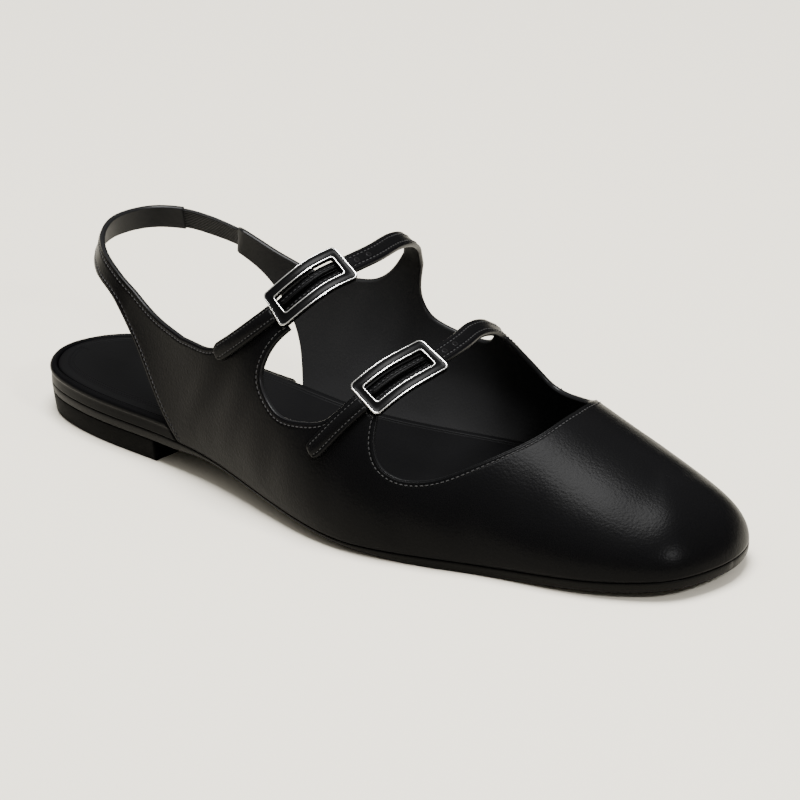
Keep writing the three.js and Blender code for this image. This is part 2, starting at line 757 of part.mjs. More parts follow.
const wholeRows = soleRows(0, lastRow);
const soleBottomPairs = wholeRows.map((row) => {
  const inset = soleUndercut + waistUndercut * waistShare(shoeLength * sectionCurves.along(row));
  return [outlinePoint(-1, row, inset), outlinePoint(1, row, inset)];
});
addPlate(
  "outsole",
  rubber,
  outlinePairs(wholeRows, wholeRows, 0),
  soleBottomPairs,
  [0, 1],
  (point) => soleHeight(point.x),
  (point) => soleHeight(point.x) - soleThickness + waistThinning * waistShare(point.x),
);

const heelRowsLateral = soleRows(0, heelLateralRow);
const heelRowsMedial = soleRows(0, heelMedialRow);
addPlate(
  "heel_block",
  rubber,
  outlinePairs(heelRowsLateral, heelRowsMedial, heelInset),
  outlinePairs(heelRowsLateral, heelRowsMedial, heelInset + heelDraft),
  [0, 1],
  (point) => soleHeight(point.x) - soleThickness - fitGap,
  () => 0,
);

addPlate(
  "insole",
  calf,
  outlinePairs(wholeRows, wholeRows, insoleInset),
  outlinePairs(wholeRows, wholeRows, insoleInset),
  insoleShares,
  (point, rim) => {
    const rise = insoleFront + (insoleRear - insoleFront) * smoothStep(insoleRiseTo, insoleRiseFrom, point.x);
    const dish = insoleDish * smoothStep(0, insoleDishWidth, rim);
    const edge = insoleEdge * (1 - smoothStep(0, insoleEdgeWidth, rim));
    return soleHeight(point.x) + rise - dish - edge;
  },
  (point) => soleHeight(point.x) + fitGap,
);

// Rand: a closed profile swept round the heel seat, its ends slanting with the rear edges of the quarters
const randSheet = newSheet();
const randLines = [];
for (let i = 0; i <= randSteps; i++) {
  const t = (2 * i) / randSteps - 1;
  const side = t < 0 ? -1 : 1;
  randLines.push(
    randProfile.map(([out, up]) => {
      const end = side < 0 ? randLateralEnd : randMedialEnd;
      const row = (end - (randSlant * up) / randHeight) * Math.abs(t);
      const point = outlinePoint(side, row, -out);
      const drop = side < 0 ? 0 : randMedialDrop * smoothStep(randDropFrom, 1, Math.abs(t));
      return point.setZ(soleHeight(point.x) + fitGap + (up - fitGap) * (1 - drop));
    }),
  );
}
const closedRand = randLines.map((line) => [...line, line[0]]);
addGrid(randSheet, closedRand);
for (const [line, flipped] of [[randLines[0], false], [randLines[randSteps], true]]) {
  const ring = line.map((point) => addPoint(randSheet, point));
  for (let k = 0; k < ring.length; k++) {
    const next = (k + 1) % ring.length;
    if (k === randFanFrom || next === randFanFrom) continue;
    if (flipped) addTriangle(randSheet, ring[randFanFrom], ring[next], ring[k]);
    else addTriangle(randSheet, ring[randFanFrom], ring[k], ring[next]);
  }
}
addMesh("seat_rand", calf, randSheet.points, randSheet.faces);

const box = new THREE.Box3().setFromObject(shoe);
const shift = new THREE.Vector3(-(box.min.x + box.max.x) / 2, -(box.min.y + box.max.y) / 2, -box.min.z);
for (const mesh of shoe.children) mesh.geometry.translate(shift.x, shift.y, shift.z);

export default shoe;
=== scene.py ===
import math

import bmesh
import bpy
import numpy as np
from mathutils import Matrix, Vector
from mathutils.kdtree import KDTree


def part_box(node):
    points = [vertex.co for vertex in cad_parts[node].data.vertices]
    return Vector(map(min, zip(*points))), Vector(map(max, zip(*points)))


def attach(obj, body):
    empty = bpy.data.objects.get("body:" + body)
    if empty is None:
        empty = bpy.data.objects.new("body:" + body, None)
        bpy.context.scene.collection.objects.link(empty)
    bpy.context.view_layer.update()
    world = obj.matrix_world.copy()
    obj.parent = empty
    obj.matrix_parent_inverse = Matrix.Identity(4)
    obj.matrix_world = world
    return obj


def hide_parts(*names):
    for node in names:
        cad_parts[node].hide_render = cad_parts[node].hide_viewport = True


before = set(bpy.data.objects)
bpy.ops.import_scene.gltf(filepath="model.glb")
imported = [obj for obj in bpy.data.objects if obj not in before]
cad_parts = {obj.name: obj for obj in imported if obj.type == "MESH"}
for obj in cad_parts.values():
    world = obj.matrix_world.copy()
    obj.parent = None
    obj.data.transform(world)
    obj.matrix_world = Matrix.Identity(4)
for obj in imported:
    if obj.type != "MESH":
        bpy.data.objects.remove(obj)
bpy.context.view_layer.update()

# Camera, floor and light
# The shoe stands on a pale floor, seen from high up on its outer side, near the toe.
# The camera's place is measured from the last's own origin: the floor under the rear of the sole.
sole_low_on_last = Vector((0.0, -0.045742, 0.000047))
last_origin = Vector(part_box("outsole")[0]) - sole_low_on_last
photo_forward = Vector((-0.5566, 0.7616, -0.3320)).normalized()
photo_right = Vector((0.8073, 0.5901, 0.0)).normalized()
photo_up = photo_right.cross(photo_forward)
aim_right = -0.0403
aim_up = -0.0542
aim = (photo_forward + aim_right * photo_right + aim_up * photo_up).normalized()
photo_lens = 129.56
closer = 1.56
camera = bpy.data.objects.new("camera", bpy.data.cameras.new("camera"))
bpy.context.collection.objects.link(camera)
camera.data.lens = photo_lens * closer
camera.data.sensor_width = 36.0
camera.data.clip_end = 50.0
camera.location = last_origin + Vector((0.8958, -0.9539, 0.5338))
turn = photo_forward.rotation_difference(aim)
camera_axes = [turn @ photo_right, turn @ photo_up, -aim]
camera.rotation_mode = "QUATERNION"
camera.rotation_quaternion = Matrix(camera_axes).transposed().to_quaternion()
bpy.context.scene.camera = camera

floor_half = 6.0
floor_corners = [(x * floor_half, y * floor_half) for x, y in ((-1, -1), (1, -1), (1, 1), (-1, 1))]
floor_mesh = bpy.data.meshes.new("floor")
floor_mesh.from_pydata([(x, y, 0) for x, y in floor_corners], [], [(0, 1, 2, 3)])
floor = bpy.data.objects.new("floor", floor_mesh)
bpy.context.collection.objects.link(floor)
floor_paint = bpy.data.materials.new("floor_paper")
floor_paint.use_nodes = True
floor_shader = floor_paint.node_tree.nodes["Principled BSDF"]
floor_shader.inputs["Base Color"].default_value = (0.9, 0.845, 0.72, 1)
floor_shader.inputs["Roughness"].default_value = 0.9
floor_shader.inputs["Specular IOR Level"].default_value = 0.1
floor_mesh.materials.append(floor_paint)

world = bpy.data.worlds.new("studio")
bpy.context.scene.world = world
world.use_nodes = True
sky_nodes, sky_links = world.node_tree.nodes, world.node_tree.links
sky = sky_nodes["Background"]
sky.inputs["Color"].default_value = (1.0, 0.985, 0.95, 1)
sky_place = sky_nodes.new("ShaderNodeTexCoord")
sky_parts = sky_nodes.new("ShaderNodeSeparateXYZ")
sky_links.new(sky_place.outputs["Generated"], sky_parts.inputs["Vector"])
sky_fall = sky_nodes.new("ShaderNodeMapRange")
sky_fall.interpolation_type = "SMOOTHSTEP"
for label, value in (("From Min", 0.15), ("From Max", 0.85), ("To Min", 0.04), ("To Max", 0.75)):
    sky_fall.inputs[label].default_value = value
sky_links.new(sky_parts.outputs["Z"], sky_fall.inputs["Value"])
sky_links.new(sky_fall.outputs["Result"], sky.inputs["Strength"])


def soft_light(name, place, target, size, power):
    light = bpy.data.lights.new(name, "AREA")
    light.shape = "RECTANGLE"
    light.size, light.size_y = size
    light.energy = power
    light_object = bpy.data.objects.new(name, light)
    bpy.context.collection.objects.link(light_object)
    light_object.location = place
    light_object.rotation_mode = "QUATERNION"
    light_object.rotation_quaternion = (Vector(target) - Vector(place)).to_track_quat("-Z", "Y")


soft_light("overhead", (-0.1, 0.0, 1.9), (0, 0, 0), (1.0, 1.0), 92)
soft_light("toe_light", (0.85, -0.25, 0.62), (0.08, 0, 0.02), (0.14, 0.14), 5.5)

# Upper
# One shell of black calf leather, 1.6 mm thick, cut and lasted over the foot's shape: vamp, quarters, the
# inner halves of the instep straps and the leather arms of the sling. Its cut edges are folded and painted;
# the edge finish is a little lighter than the calf, a painted highlight for light caught along the edges.
# Lengths are millimetres from the rear of the sole; the inner side is +Y.
shoe_length = 249.0
ball_width = 87.0
instep_height = 75.0
heel_lift = 6.8
sole_thickness = 3.0
toe_spring = 3.8
fit_gap = 0.3
upper_wall = 1.6
ridge_fall = 0.3
sling_sway = 5.0
sway_from, sway_to = 88.0, 46.0
sway_low, sway_high = 12.0, 46.0

# Sections of the last, heel to toe: where they meet the sole's edge and the top line, as shares of the
# length, ball width, heel lift, toe spring and instep height, and how the wall swells, rises and crowns.
section_columns = (
    "along", "lateral", "medial", "lift", "spring", "ridge_along", "ridge_side", "ridge_up",
    "lateral_swell", "lateral_rise", "lateral_crown", "medial_swell", "medial_rise", "medial_crown",
)
section_rows = np.array([
    [0.0, 0.0, 0.0, 1.0, 0.0, 0.168, 0.0, 1.25, -0.1, 0.38, 0.6, -0.1, 0.38, 0.6],
    [0.009, 0.098, 0.106, 1.0, 0.0, 0.169, 0.0, 1.25, -0.09, 0.38, 0.6, -0.09, 0.38, 0.6],
    [0.036, 0.195, 0.205, 1.0, 0.0, 0.175, 0.0, 1.245, -0.06, 0.38, 0.62, -0.06, 0.38, 0.62],
    [0.085, 0.264, 0.267, 1.0, 0.0, 0.19, 0.0, 1.235, -0.02, 0.38, 0.7, 0.0, 0.38, 0.75],
    [0.16, 0.309, 0.282, 1.0, 0.0, 0.23, 0.0, 1.2, 0.01, 0.36, 0.8, 0.05, 0.38, 0.9],
    [0.25, 0.333, 0.262, 1.0, 0.0, 0.29, 0.005, 1.155, 0.04, 0.32, 0.85, 0.12, 0.36, 1.1],
    [0.34, 0.372, 0.259, 0.88, 0.0, 0.365, 0.025, 1.09, 0.06, 0.28, 0.9, 0.15, 0.34, 2.1],
    [0.43, 0.439, 0.301, 0.55, 0.0, 0.445, 0.045, 1.015, 0.05, 0.26, 0.95, 0.155, 0.32, 2.1],
    [0.52, 0.506, 0.393, 0.22, 0.0, 0.53, 0.045, 0.855, 0.04, 0.25, 0.9, 0.12, 0.3, 1.5],
    [0.6, 0.524, 0.471, 0.0, 0.0, 0.61, 0.03, 0.7, 0.035, 0.27, 0.84, 0.055, 0.32, 0.92],
    [0.68, 0.478, 0.467, 0.0, 0.0, 0.685, 0.035, 0.61, 0.045, 0.34, 0.74, 0.045, 0.38, 0.72],
    [0.76, 0.411, 0.412, 0.0, 0.05, 0.757, 0.04, 0.545, 0.045, 0.4, 0.66, 0.04, 0.43, 0.64],
    [0.835, 0.37, 0.382, 0.0, 0.27, 0.822, 0.045, 0.465, 0.035, 0.44, 0.6, 0.03, 0.45, 0.57],
    [0.895, 0.328, 0.345, 0.0, 0.48, 0.868, 0.045, 0.41, 0.03, 0.45, 0.58, 0.02, 0.46, 0.53],
    [0.94, 0.27, 0.305, 0.0, 0.67, 0.892, 0.042, 0.377, 0.02, 0.46, 0.56, 0.012, 0.46, 0.51],
    [0.972, 0.203, 0.248, 0.0, 0.84, 0.902, 0.04, 0.367, 0.01, 0.44, 0.54, 0.005, 0.44, 0.5],
    [0.991, 0.105, 0.162, 0.0, 0.95, 0.906, 0.04, 0.363, 0.005, 0.42, 0.52, 0.0, 0.42, 0.5],
    [1.0, -0.037, 0.037, 0.0, 1.0, 0.907, 0.04, 0.361, 0.0, 0.4, 0.5, 0.0, 0.4, 0.5],
])
last_row = len(section_rows) - 1


def cubic_through(values, flat_ends):
    """A cubic spline through evenly numbered values; flat ends have no slope, free ends no bend."""
    values = np.asarray(values, float)
    count = len(values)
    system = np.zeros((count, count))
    right = np.zeros(count)
    for i in range(1, count - 1):
        system[i, i - 1:i + 2] = (1, 4, 1)
        right[i] = 3 * (values[i + 1] - values[i - 1])
    if flat_ends:
        system[0, 0] = system[-1, -1] = 1
    else:
        system[0, :2] = (2, 1)
        system[-1, -2:] = (1, 2)
        right[0] = 3 * (values[1] - values[0])
        right[-1] = 3 * (values[-1] - values[-2])
    slopes = np.linalg.solve(system, right)

    def at(place):
        place = np.clip(np.asarray(place, float), 0, count - 1)
        i = np.minimum(place.astype(int), count - 2)
        t = place - i
        rise = values[i + 1] - values[i]
        bend = (1 - t) * (slopes[i] - rise) + t * (rise - slopes[i + 1])
        return values[i] + t * rise + t * (1 - t) * bend

    return at


section_curves = {
    name: cubic_through(section_rows[:, column], name not in ("lateral", "medial"))
    for column, name in enumerate(section_columns)
}


def smooth_step(start, end, value):
    t = np.clip((value - start) / (end - start), 0, 1)
    return t * t * (3 - 2 * t)


def edge_points(side, row):
    """The sole's edge at the seam with the upper; side is -1 outside and 1 inside."""
    out = section_curves["lateral" if side < 0 else "medial"](row)
    lift = np.maximum(section_curves["lift"](row), 0)
    spring = np.maximum(section_curves["spring"](row), 0)
    height = sole_thickness + heel_lift * lift + toe_spring * spring
    return np.stack([shoe_length * section_curves["along"](row), side * ball_width * out, height], axis=-1)


def last_points(side, row, up):
    """The upper's outer face: up is 0 at the sole's edge and 1 on the top line."""
    name = "lateral" if side < 0 else "medial"
    row, up = np.broadcast_arrays(np.asarray(row, float), np.asarray(up, float))
    foot = edge_points(side, row)
    foot[..., 2] += fit_gap
    ridge = np.stack([
        shoe_length * section_curves["ridge_along"](row),
        ball_width * section_curves["ridge_side"](row),
        instep_height * section_curves["ridge_up"](row),
    ], axis=-1)
    out = foot - ridge
    out[..., 2] = 0
    width = np.linalg.norm(out, axis=-1)
    swell = ball_width * section_curves[name + "_swell"](row) / width
    crown = section_curves[name + "_crown"](row)
    wall = foot + out * swell[..., None]
    wall[..., 2] += section_curves[name + "_rise"](row) * (ridge[..., 2] - foot[..., 2])
    top = ridge + out * crown[..., None]
    top[..., 2] = ridge[..., 2] - ridge_fall * out[..., 0] * crown
    t = up[..., None]
    point = (1 - t) ** 3 * foot + 3 * (1 - t) ** 2 * t * wall + 3 * (1 - t) * t ** 2 * top + t ** 3 * ridge
    sway = smooth_step(sway_from, sway_to, point[..., 0]) * smooth_step(sway_low, sway_high, point[..., 2])
    point[..., 1] += sling_sway * sway
    return point


def in_part(points):
    """From millimetres on the last to the part's frame in metres."""
    return np.asarray(points, float) / 1000 + np.array(last_origin)


# The cut, a row for each line from the lower to the upper border: section and height of its lower end,
# then of its upper end, and 1 where the border turns sharply.
lateral_cut = [
    [4.14, 0.3, 4.28, 0.384, 1], [4.53, 0.243, 4.6, 0.365, 0], [4.91, 0.166, 4.91, 0.358, 0],
    [5.22, 0.075, 5.19, 0.361, 0], [5.42, 0, 5.44, 0.366, 1], [5.53, 0, 5.76, 0.383, 0],
    [5.64, 0, 6.13, 0.41, 0], [5.76, 0, 6.45, 0.48, 0], [5.88, 0, 6.72, 0.565, 0],
    [5.98, 0, 6.96, 0.64, 1], [6.12, 0, 7.34, 0.625, 1], [6.4, 0, 7.18, 0.545, 0],
    [6.7, 0, 7.1, 0.467, 0], [7.0, 0, 7.16, 0.413, 0], [7.3, 0, 7.4, 0.38, 0],
    [7.62, 0, 7.66, 0.383, 0], [7.93, 0, 7.98, 0.42, 0], [8.15, 0, 8.29, 0.474, 0],
    [8.36, 0, 8.48, 0.55, 0], [8.52, 0, 8.58, 0.61, 1], [8.8, 0, 9.02, 0.6, 1],
    [8.9, 0, 9.08, 0.545, 0], [9.02, 0, 9.17, 0.485, 0], [9.2, 0, 9.35, 0.426, 0],
    [9.45, 0, 9.62, 0.396, 0], [9.75, 0, 9.9, 0.398, 0], [10.05, 0, 10.23, 0.433, 0],
    [10.38, 0, 10.57, 0.51, 0], [10.68, 0, 10.88, 0.605, 0], [10.98, 0, 11.13, 0.712, 0],
    [11.25, 0, 11.28, 0.84, 0], [11.5, 0, 11.33, 1, 1],
]
medial_cut = [
    [4.38, 0.36, 4.48, 0.437, 1], [4.8, 0.33, 4.78, 0.425, 0], [5.2, 0.27, 5.06, 0.411, 0],
    [5.5, 0.183, 5.32, 0.399, 0], [5.63, 0.087, 5.55, 0.39, 0], [5.7, 0, 5.77, 0.388, 1],
    [5.86, 0, 6.0, 0.392, 0], [6.02, 0, 6.28, 0.408, 0], [6.18, 0, 6.6, 0.433, 0],
    [6.33, 0, 6.87, 0.503, 0], [6.46, 0, 7.09, 0.614, 1], [6.62, 0, 7.32, 0.597, 1],
    [6.84, 0, 7.25, 0.52, 0], [7.05, 0, 7.24, 0.455, 0], [7.27, 0, 7.34, 0.408, 0],
    [7.54, 0, 7.52, 0.393, 0], [7.76, 0, 7.81, 0.399, 0], [8.0, 0, 8.1, 0.421, 0],
    [8.24, 0, 8.38, 0.47, 0], [8.46, 0, 8.63, 0.585, 0], [8.62, 0, 8.79, 0.69, 1],
    [8.86, 0, 9.08, 0.69, 1], [8.96, 0, 9.12, 0.668, 0], [9.1, 0, 9.21, 0.6, 0],
    [9.28, 0, 9.38, 0.525, 0], [9.5, 0, 9.6, 0.45, 0], [9.78, 0, 9.88, 0.434, 0],
    [10.08, 0, 10.16, 0.456, 0], [10.4, 0, 10.5, 0.505, 0], [10.72, 0, 10.8, 0.595, 0],
    [11.02, 0, 11.07, 0.73, 0], [11.28, 0, 11.24, 0.87, 0], [11.5, 0, 11.33, 1, 1],
]
toe_cut = [
    [11.5, 0, 11.33, 1, 1], [12.6, 0, 12.5, 1, 0], [14.0, 0, 14.0, 1, 0], [15.5, 0, 15.5, 1, 0],
    [17.0, 0, 17.0, 1, 1],
]
rear_strap_row, front_strap_row = 10, 20
steps_up = 44
steps_per_row = 8
steps_over_toe = 22
line_bend = 1.35


def cut_lines(table, steps):
    table = np.array(table, float)
    corners = np.flatnonzero(table[:, 4] == 1)
    lines = []
    for start, end in zip(corners[:-1], corners[1:]):
        part = table[start:end + 1, :4]
        count = (end - start) * steps
        place = np.linspace(0, end - start, count + 1)
        piece = np.stack([cubic_through(part[:, k], False)(place) for k in range(4)], axis=1)
        lines.append(piece if not lines else piece[1:])
    return np.concatenate(lines)


def wall_grid(side, lines):
    share = np.linspace(0, 1, steps_up + 1)[None, :]
    row = lines[:, 0:1] + (lines[:, 2:3] - lines[:, 0:1]) * share ** line_bend
    up = lines[:, 1:2] + (lines[:, 3:4] - lines[:, 1:2]) * share
    return last_points(side, row, up), up


def through_points(points, places):
    """A centripetal curve through points of shape (count, lanes, 3), read at places along their numbers."""
    before = 2 * points[0] - points[1]
    after = 2 * points[-1] - points[-2]
    padded = np.concatenate([before[None], points, after[None]])
    results = []
    for place in places:
        i = min(int(place), len(points) - 2)
        t = place - i
        p0, p1, p2, p3 = padded[i:i + 4]
        d0 = np.sqrt(np.linalg.norm(p1 - p0, axis=-1, keepdims=True))
        d1 = np.sqrt(np.linalg.norm(p2 - p1, axis=-1, keepdims=True))
        d2 = np.sqrt(np.linalg.norm(p3 - p2, axis=-1, keepdims=True))
        start = ((p1 - p0) / d0 - (p2 - p0) / (d0 + d1) + (p2 - p1) / d1) * d1
        end = ((p2 - p1) / d1 - (p3 - p1) / (d1 + d2) + (p3 - p2) / d2) * d1
        c2 = -3 * p1 + 3 * p2 - 2 * start - end
        c3 = 2 * p1 - 2 * p2 + start + end
        results.append(p1 + start * t + c2 * t * t + c3 * t * t * t)
    return np.array(results)


# The middle of the sling's band, from the inner quarter round the heel to the outer quarter
sling_rows = [
    [0.186, 0.364, 0.684], [0.142, 0.36, 0.707], [0.101, 0.336, 0.722], [0.064, 0.266, 0.726],
    [0.05, 0.126, 0.727], [0.075, -0.044, 0.732], [0.114, -0.166, 0.712], [0.159, -0.228, 0.66],
]
sling_width = 7.4
sling_lean = 0.3
sling_gap = 0.045
leather_end_row, elastic_start_row = 2, 0
sling_steps = 110
inner_arm_steps = 14


def sling_lines(lateral_grid, medial_grid):
    size = np.array([shoe_length, ball_width, instep_height])
    middles = np.array(sling_rows) * size
    rows = []
    for i, middle in enumerate(middles):
        heading = middles[min(i + 1, len(middles) - 1)] - middles[max(i - 1, 0)]
        heading[2] = 0
        heading /= np.linalg.norm(heading)
        across = np.array([-heading[1] * sling_lean, heading[0] * sling_lean, 1.0])
        across /= np.linalg.norm(across)
        share = np.linspace(0, 1, steps_up + 1)[:, None] - 0.5
        rows.append(middle + across * sling_width * share)
    near = steps_per_row // 2
    return np.array([medial_grid[near], medial_grid[0], *rows, lateral_grid[0], lateral_grid[near]])


rear_strap_path = [
    [7.205, -0.394], [7.3, -0.285], [7.38, -0.19], [7.43, -0.1], [7.46, 0.0], [7.44, 0.096],
    [7.33, 0.19], [7.22, 0.28], [7.07, 0.366], [6.85, 0.445], [6.54, 0.53], [6.25, 0.595],
]
front_strap_path = [
    [8.93, -0.31], [8.96, -0.2], [9.01, -0.1], [9.09, 0.0], [9.13, 0.09], [9.07, 0.17],
    [8.94, 0.265], [8.75, 0.397], [8.55, 0.505], [8.33, 0.61], [8.21, 0.656],
]
strap_width = 5.8
strap_root_blend = 4.0
strap_steps = 90


class StrapCourse:
    """An instep strap's middle line with its frame: along it, across it toward the toe, off the last."""

    def __init__(self, path):
        nudge = 0.01
        points, normals = [], []
        for section, girth in path:
            side = 1 if girth < 0 else -1
            up = min(1 - abs(girth), 1 - nudge)
            along_section = last_points(side, section + nudge, up) - last_points(side, section - nudge, up)
            along_up = last_points(side, section, up + nudge) - last_points(side, section, up - nudge)
            normal = np.cross(along_section, along_up) * -side
            normals.append(normal / np.linalg.norm(normal))
            points.append(last_points(side, section, 1 - abs(girth)))
        self.path = path
        self.points = np.array(points)[:, None, :]
        self.normals = np.array(normals)[:, None, :]
        self.places = np.linspace(0, len(path) - 1, 401)
        self.line = through_points(self.points, self.places)[:, 0]
        lean = through_points(self.normals, self.places)[:, 0]
        self.lean = lean / np.linalg.norm(lean, axis=1, keepdims=True)
        heading = np.gradient(self.line, axis=0)
        self.heading = heading / np.linalg.norm(heading, axis=1, keepdims=True)
        steps = np.linalg.norm(np.diff(self.line, axis=0), axis=1)
        self.lengths = np.concatenate([[0], np.cumsum(steps)])
        self.length = self.lengths[-1]

    def distance_at(self, girth):
        girths = [row[1] for row in self.path]
        place = np.interp(girth, girths, range(len(girths)))
        return np.interp(place, self.places, self.lengths)

    def frame_at(self, distance):
        distance = np.asarray(distance, float)
        middle, heading, normal = (
            np.stack([np.interp(distance, self.lengths, field[:, k]) for k in range(3)], axis=-1)
            for field in (self.line, self.heading, self.lean)
        )
        normal /= np.linalg.norm(normal, axis=-1, keepdims=True)
        sideways = np.cross(normal, heading)
        sideways /= np.linalg.norm(sideways, axis=-1, keepdims=True)
        return middle, sideways, normal

    def point(self, distance, across, height=0.0):
        middle, sideways, normal = self.frame_at(distance)
        across = np.asarray(across, float)[..., None]
        height = np.asarray(height, float)[..., None]
        return middle + sideways * across + normal * height


rear_strap = StrapCourse(rear_strap_path)
front_strap = StrapCourse(front_strap_path)
buckle_girth = {"rear": 0.23, "front": 0.245}
buckle_length = 26.0
buckle_width = 13.0
buckle_bar = 2.9
buckle_window = 6.3
strap_under_bar = 1.6

grids = []
wall_lines = {}
for side, table in ((-1, lateral_cut), (1, medial_cut)):
    lines = cut_lines(table, steps_per_row)
    toe_lines = cut_lines(toe_cut, steps_over_toe)[1:]
    grid, up = wall_grid(side, np.concatenate([lines, toe_lines]))
    grids.append((grid, side > 0, up))
    wall_lines[side] = (lines, grid)
sling = sling_lines(wall_lines[-1][1], wall_lines[1][1])
leather_end = 2 + leather_end_row
elastic_start = 2 + elastic_start_row
outer_arm = through_points(sling, np.linspace(leather_end, len(sling) - 2, sling_steps + 1))
inner_arm = through_points(sling, np.linspace(1, elastic_start - sling_gap, inner_arm_steps + 1))
for arm in (outer_arm, inner_arm):
    grids.append((arm, False, np.ones(arm.shape[:2])))
for name, course, root in (("rear", rear_strap, rear_strap_row), ("front", front_strap, front_strap_row)):
    lines, grid = wall_lines[1]
    start = root * steps_per_row
    root_line = grid[start:start + steps_per_row + 1, -1]
    end = course.distance_at(buckle_girth[name]) + buckle_length / 2 - buckle_bar + strap_under_bar
    distance = np.linspace(strap_root_blend, end, strap_steps)[:, None]
    across = strap_width * np.linspace(-0.5, 0.5, steps_per_row + 1)[None, :]
    strap_grid = np.concatenate([root_line[None], course.point(*np.broadcast_arrays(distance, across))])
    grids.append((strap_grid, False, np.ones(strap_grid.shape[:2])))


def sheet_from(grids):
    """Joins grids into one sheet of quads whose normals point out of the shoe."""
    points, faces, ups = [], [], []
    base = 0
    for grid, flipped, up in grids:
        m, n = grid.shape[:2]
        index = base + np.arange(m * n).reshape(m, n)
        corners = [index[:-1, :-1], index[1:, :-1], index[1:, 1:], index[:-1, 1:]]
        quad = np.stack(corners, axis=-1).reshape(-1, 4)
        faces.append(quad[:, ::-1] if flipped else quad)
        points.append(grid.reshape(-1, 3))
        ups.append(up.ravel())
        base += m * n
    points = np.concatenate(points)
    _, first, inverse = np.unique(np.round(points, 3), axis=0, return_index=True, return_inverse=True)
    faces = inverse.reshape(-1)[np.concatenate(faces)]
    return points[first], faces, np.concatenate(ups)[first]


def sheet_normals(points, faces):
    normals = np.zeros_like(points)
    diagonal = np.cross(points[faces[:, 2]] - points[faces[:, 0]], points[faces[:, 3]] - points[faces[:, 1]])
    for k in range(4):
        np.add.at(normals, faces[:, k], diagonal)
    return normals / np.maximum(np.linalg.norm(normals, axis=1, keepdims=True), 1e-12)


def sheet_loops(faces):
    """The border of a sheet as closed loops of point numbers, in the direction of its faces."""
    starts = faces.ravel()
    ends = np.roll(faces, -1, axis=1).ravel()
    count = int(faces.max()) + 1
    forward = starts.astype(np.int64) * count + ends
    backward = ends.astype(np.int64) * count + starts
    open_edges = (~np.isin(forward, backward)) & (starts != ends)
    follow = dict(zip(starts[open_edges].tolist(), ends[open_edges].tolist()))
    loops = []
    while follow:
        first, here = next(iter(follow.items()))
        loop = [first]
        del follow[first]
        while here != first:
            loop.append(here)
            here = follow.pop(here)
        loops.append(np.array(loop))
    return loops


def border_sides(points, normals, loop):
    """Unit vectors in the sheet that point out over its border."""
    heading = points[np.roll(loop, -1)] - points[np.roll(loop, 1)]
    out = np.cross(heading, normals[loop])
    return out / np.maximum(np.linalg.norm(out, axis=1, keepdims=True), 1e-12)


def make_object(name, points, faces, materials, kinds=None):
    mesh = bpy.data.meshes.new(name)
    mesh.from_pydata(in_part(points).tolist(), [], [tuple(dict.fromkeys(face)) for face in faces])
    for material in materials:
        mesh.materials.append(material)
    if kinds is not None:
        mesh.polygons.foreach_set("material_index", np.asarray(kinds, np.int32))
    mesh.polygons.foreach_set("use_smooth", np.ones(len(mesh.polygons), bool))
    mesh.update()
    made = bpy.data.objects.new(name, mesh)
    bpy.context.collection.objects.link(made)
    return made


def add_values(made, name, values):
    attribute = made.data.attributes.new(name, "FLOAT", "POINT")
    attribute.data.foreach_set("value", np.asarray(values, np.float32))


def shell(points, faces, wall, level=None, edge_bulge=0.3, rim_rings=(0.1, 0.3, 0.5, 0.7, 0.9)):
    """A sheet made into leather of a given thickness, its border rounded.

    Returns points, faces and face kinds: 0 outside, 1 lining, 2 edge.
    """
    normals = sheet_normals(points, faces)
    inward = normals.copy()
    if level is not None:
        inward[level, 2] = 0
        inward /= np.maximum(np.linalg.norm(inward, axis=1, keepdims=True), 1e-12)
    count = len(points)
    all_points = [points, points - inward * wall]
    all_faces = [faces, faces[:, ::-1] + count]
    kinds = [np.zeros(len(faces), int), np.ones(len(faces), int)]
    base = 2 * count
    for loop in sheet_loops(faces):
        out = border_sides(points, normals, loop)
        bulge = np.full(len(loop), edge_bulge)
        if level is not None:
            bulge[level[loop]] = 0
        rings = [loop]
        for share in rim_rings:
            ring = points[loop] - inward[loop] * wall * share
            ring = ring + out * (bulge * math.sin(math.pi * share))[:, None]
            all_points.append(ring)
            rings.append(base + np.arange(len(loop)))
            base += len(loop)
        rings.append(loop + count)
        for above, below in zip(rings[:-1], rings[1:]):
            quad = np.stack([np.roll(above, -1), above, below, np.roll(below, -1)], axis=1)
            all_faces.append(quad)
            kinds.append(np.full(len(quad), 2))
    return np.concatenate(all_points), np.concatenate(all_faces), np.concatenate(kinds)


def shader_group(name, inputs, outputs):
    group = bpy.data.node_groups.new(name, "ShaderNodeTree")
    for label, kind, value in inputs:
        socket = group.interface.new_socket(label, in_out="INPUT", socket_type=kind)
        if value is not None:
            socket.default_value = value
    for label, kind in outputs:
        group.interface.new_socket(label, in_out="OUTPUT", socket_type=kind)
    return group, group.nodes.new("NodeGroupInput"), group.nodes.new("NodeGroupOutput")


def math_node(nodes, links, operation, first, second=None, third=None, clamp=False):
    node = nodes.new("ShaderNodeMath")
    node.operation = operation
    node.use_clamp = clamp
    for slot, value in enumerate((first, second, third)):
        if value is None:
            continue
        if isinstance(value, (int, float)):
            node.inputs[slot].default_value = value
        else:
            links.new(value, node.inputs[slot])
    return node.outputs[0]


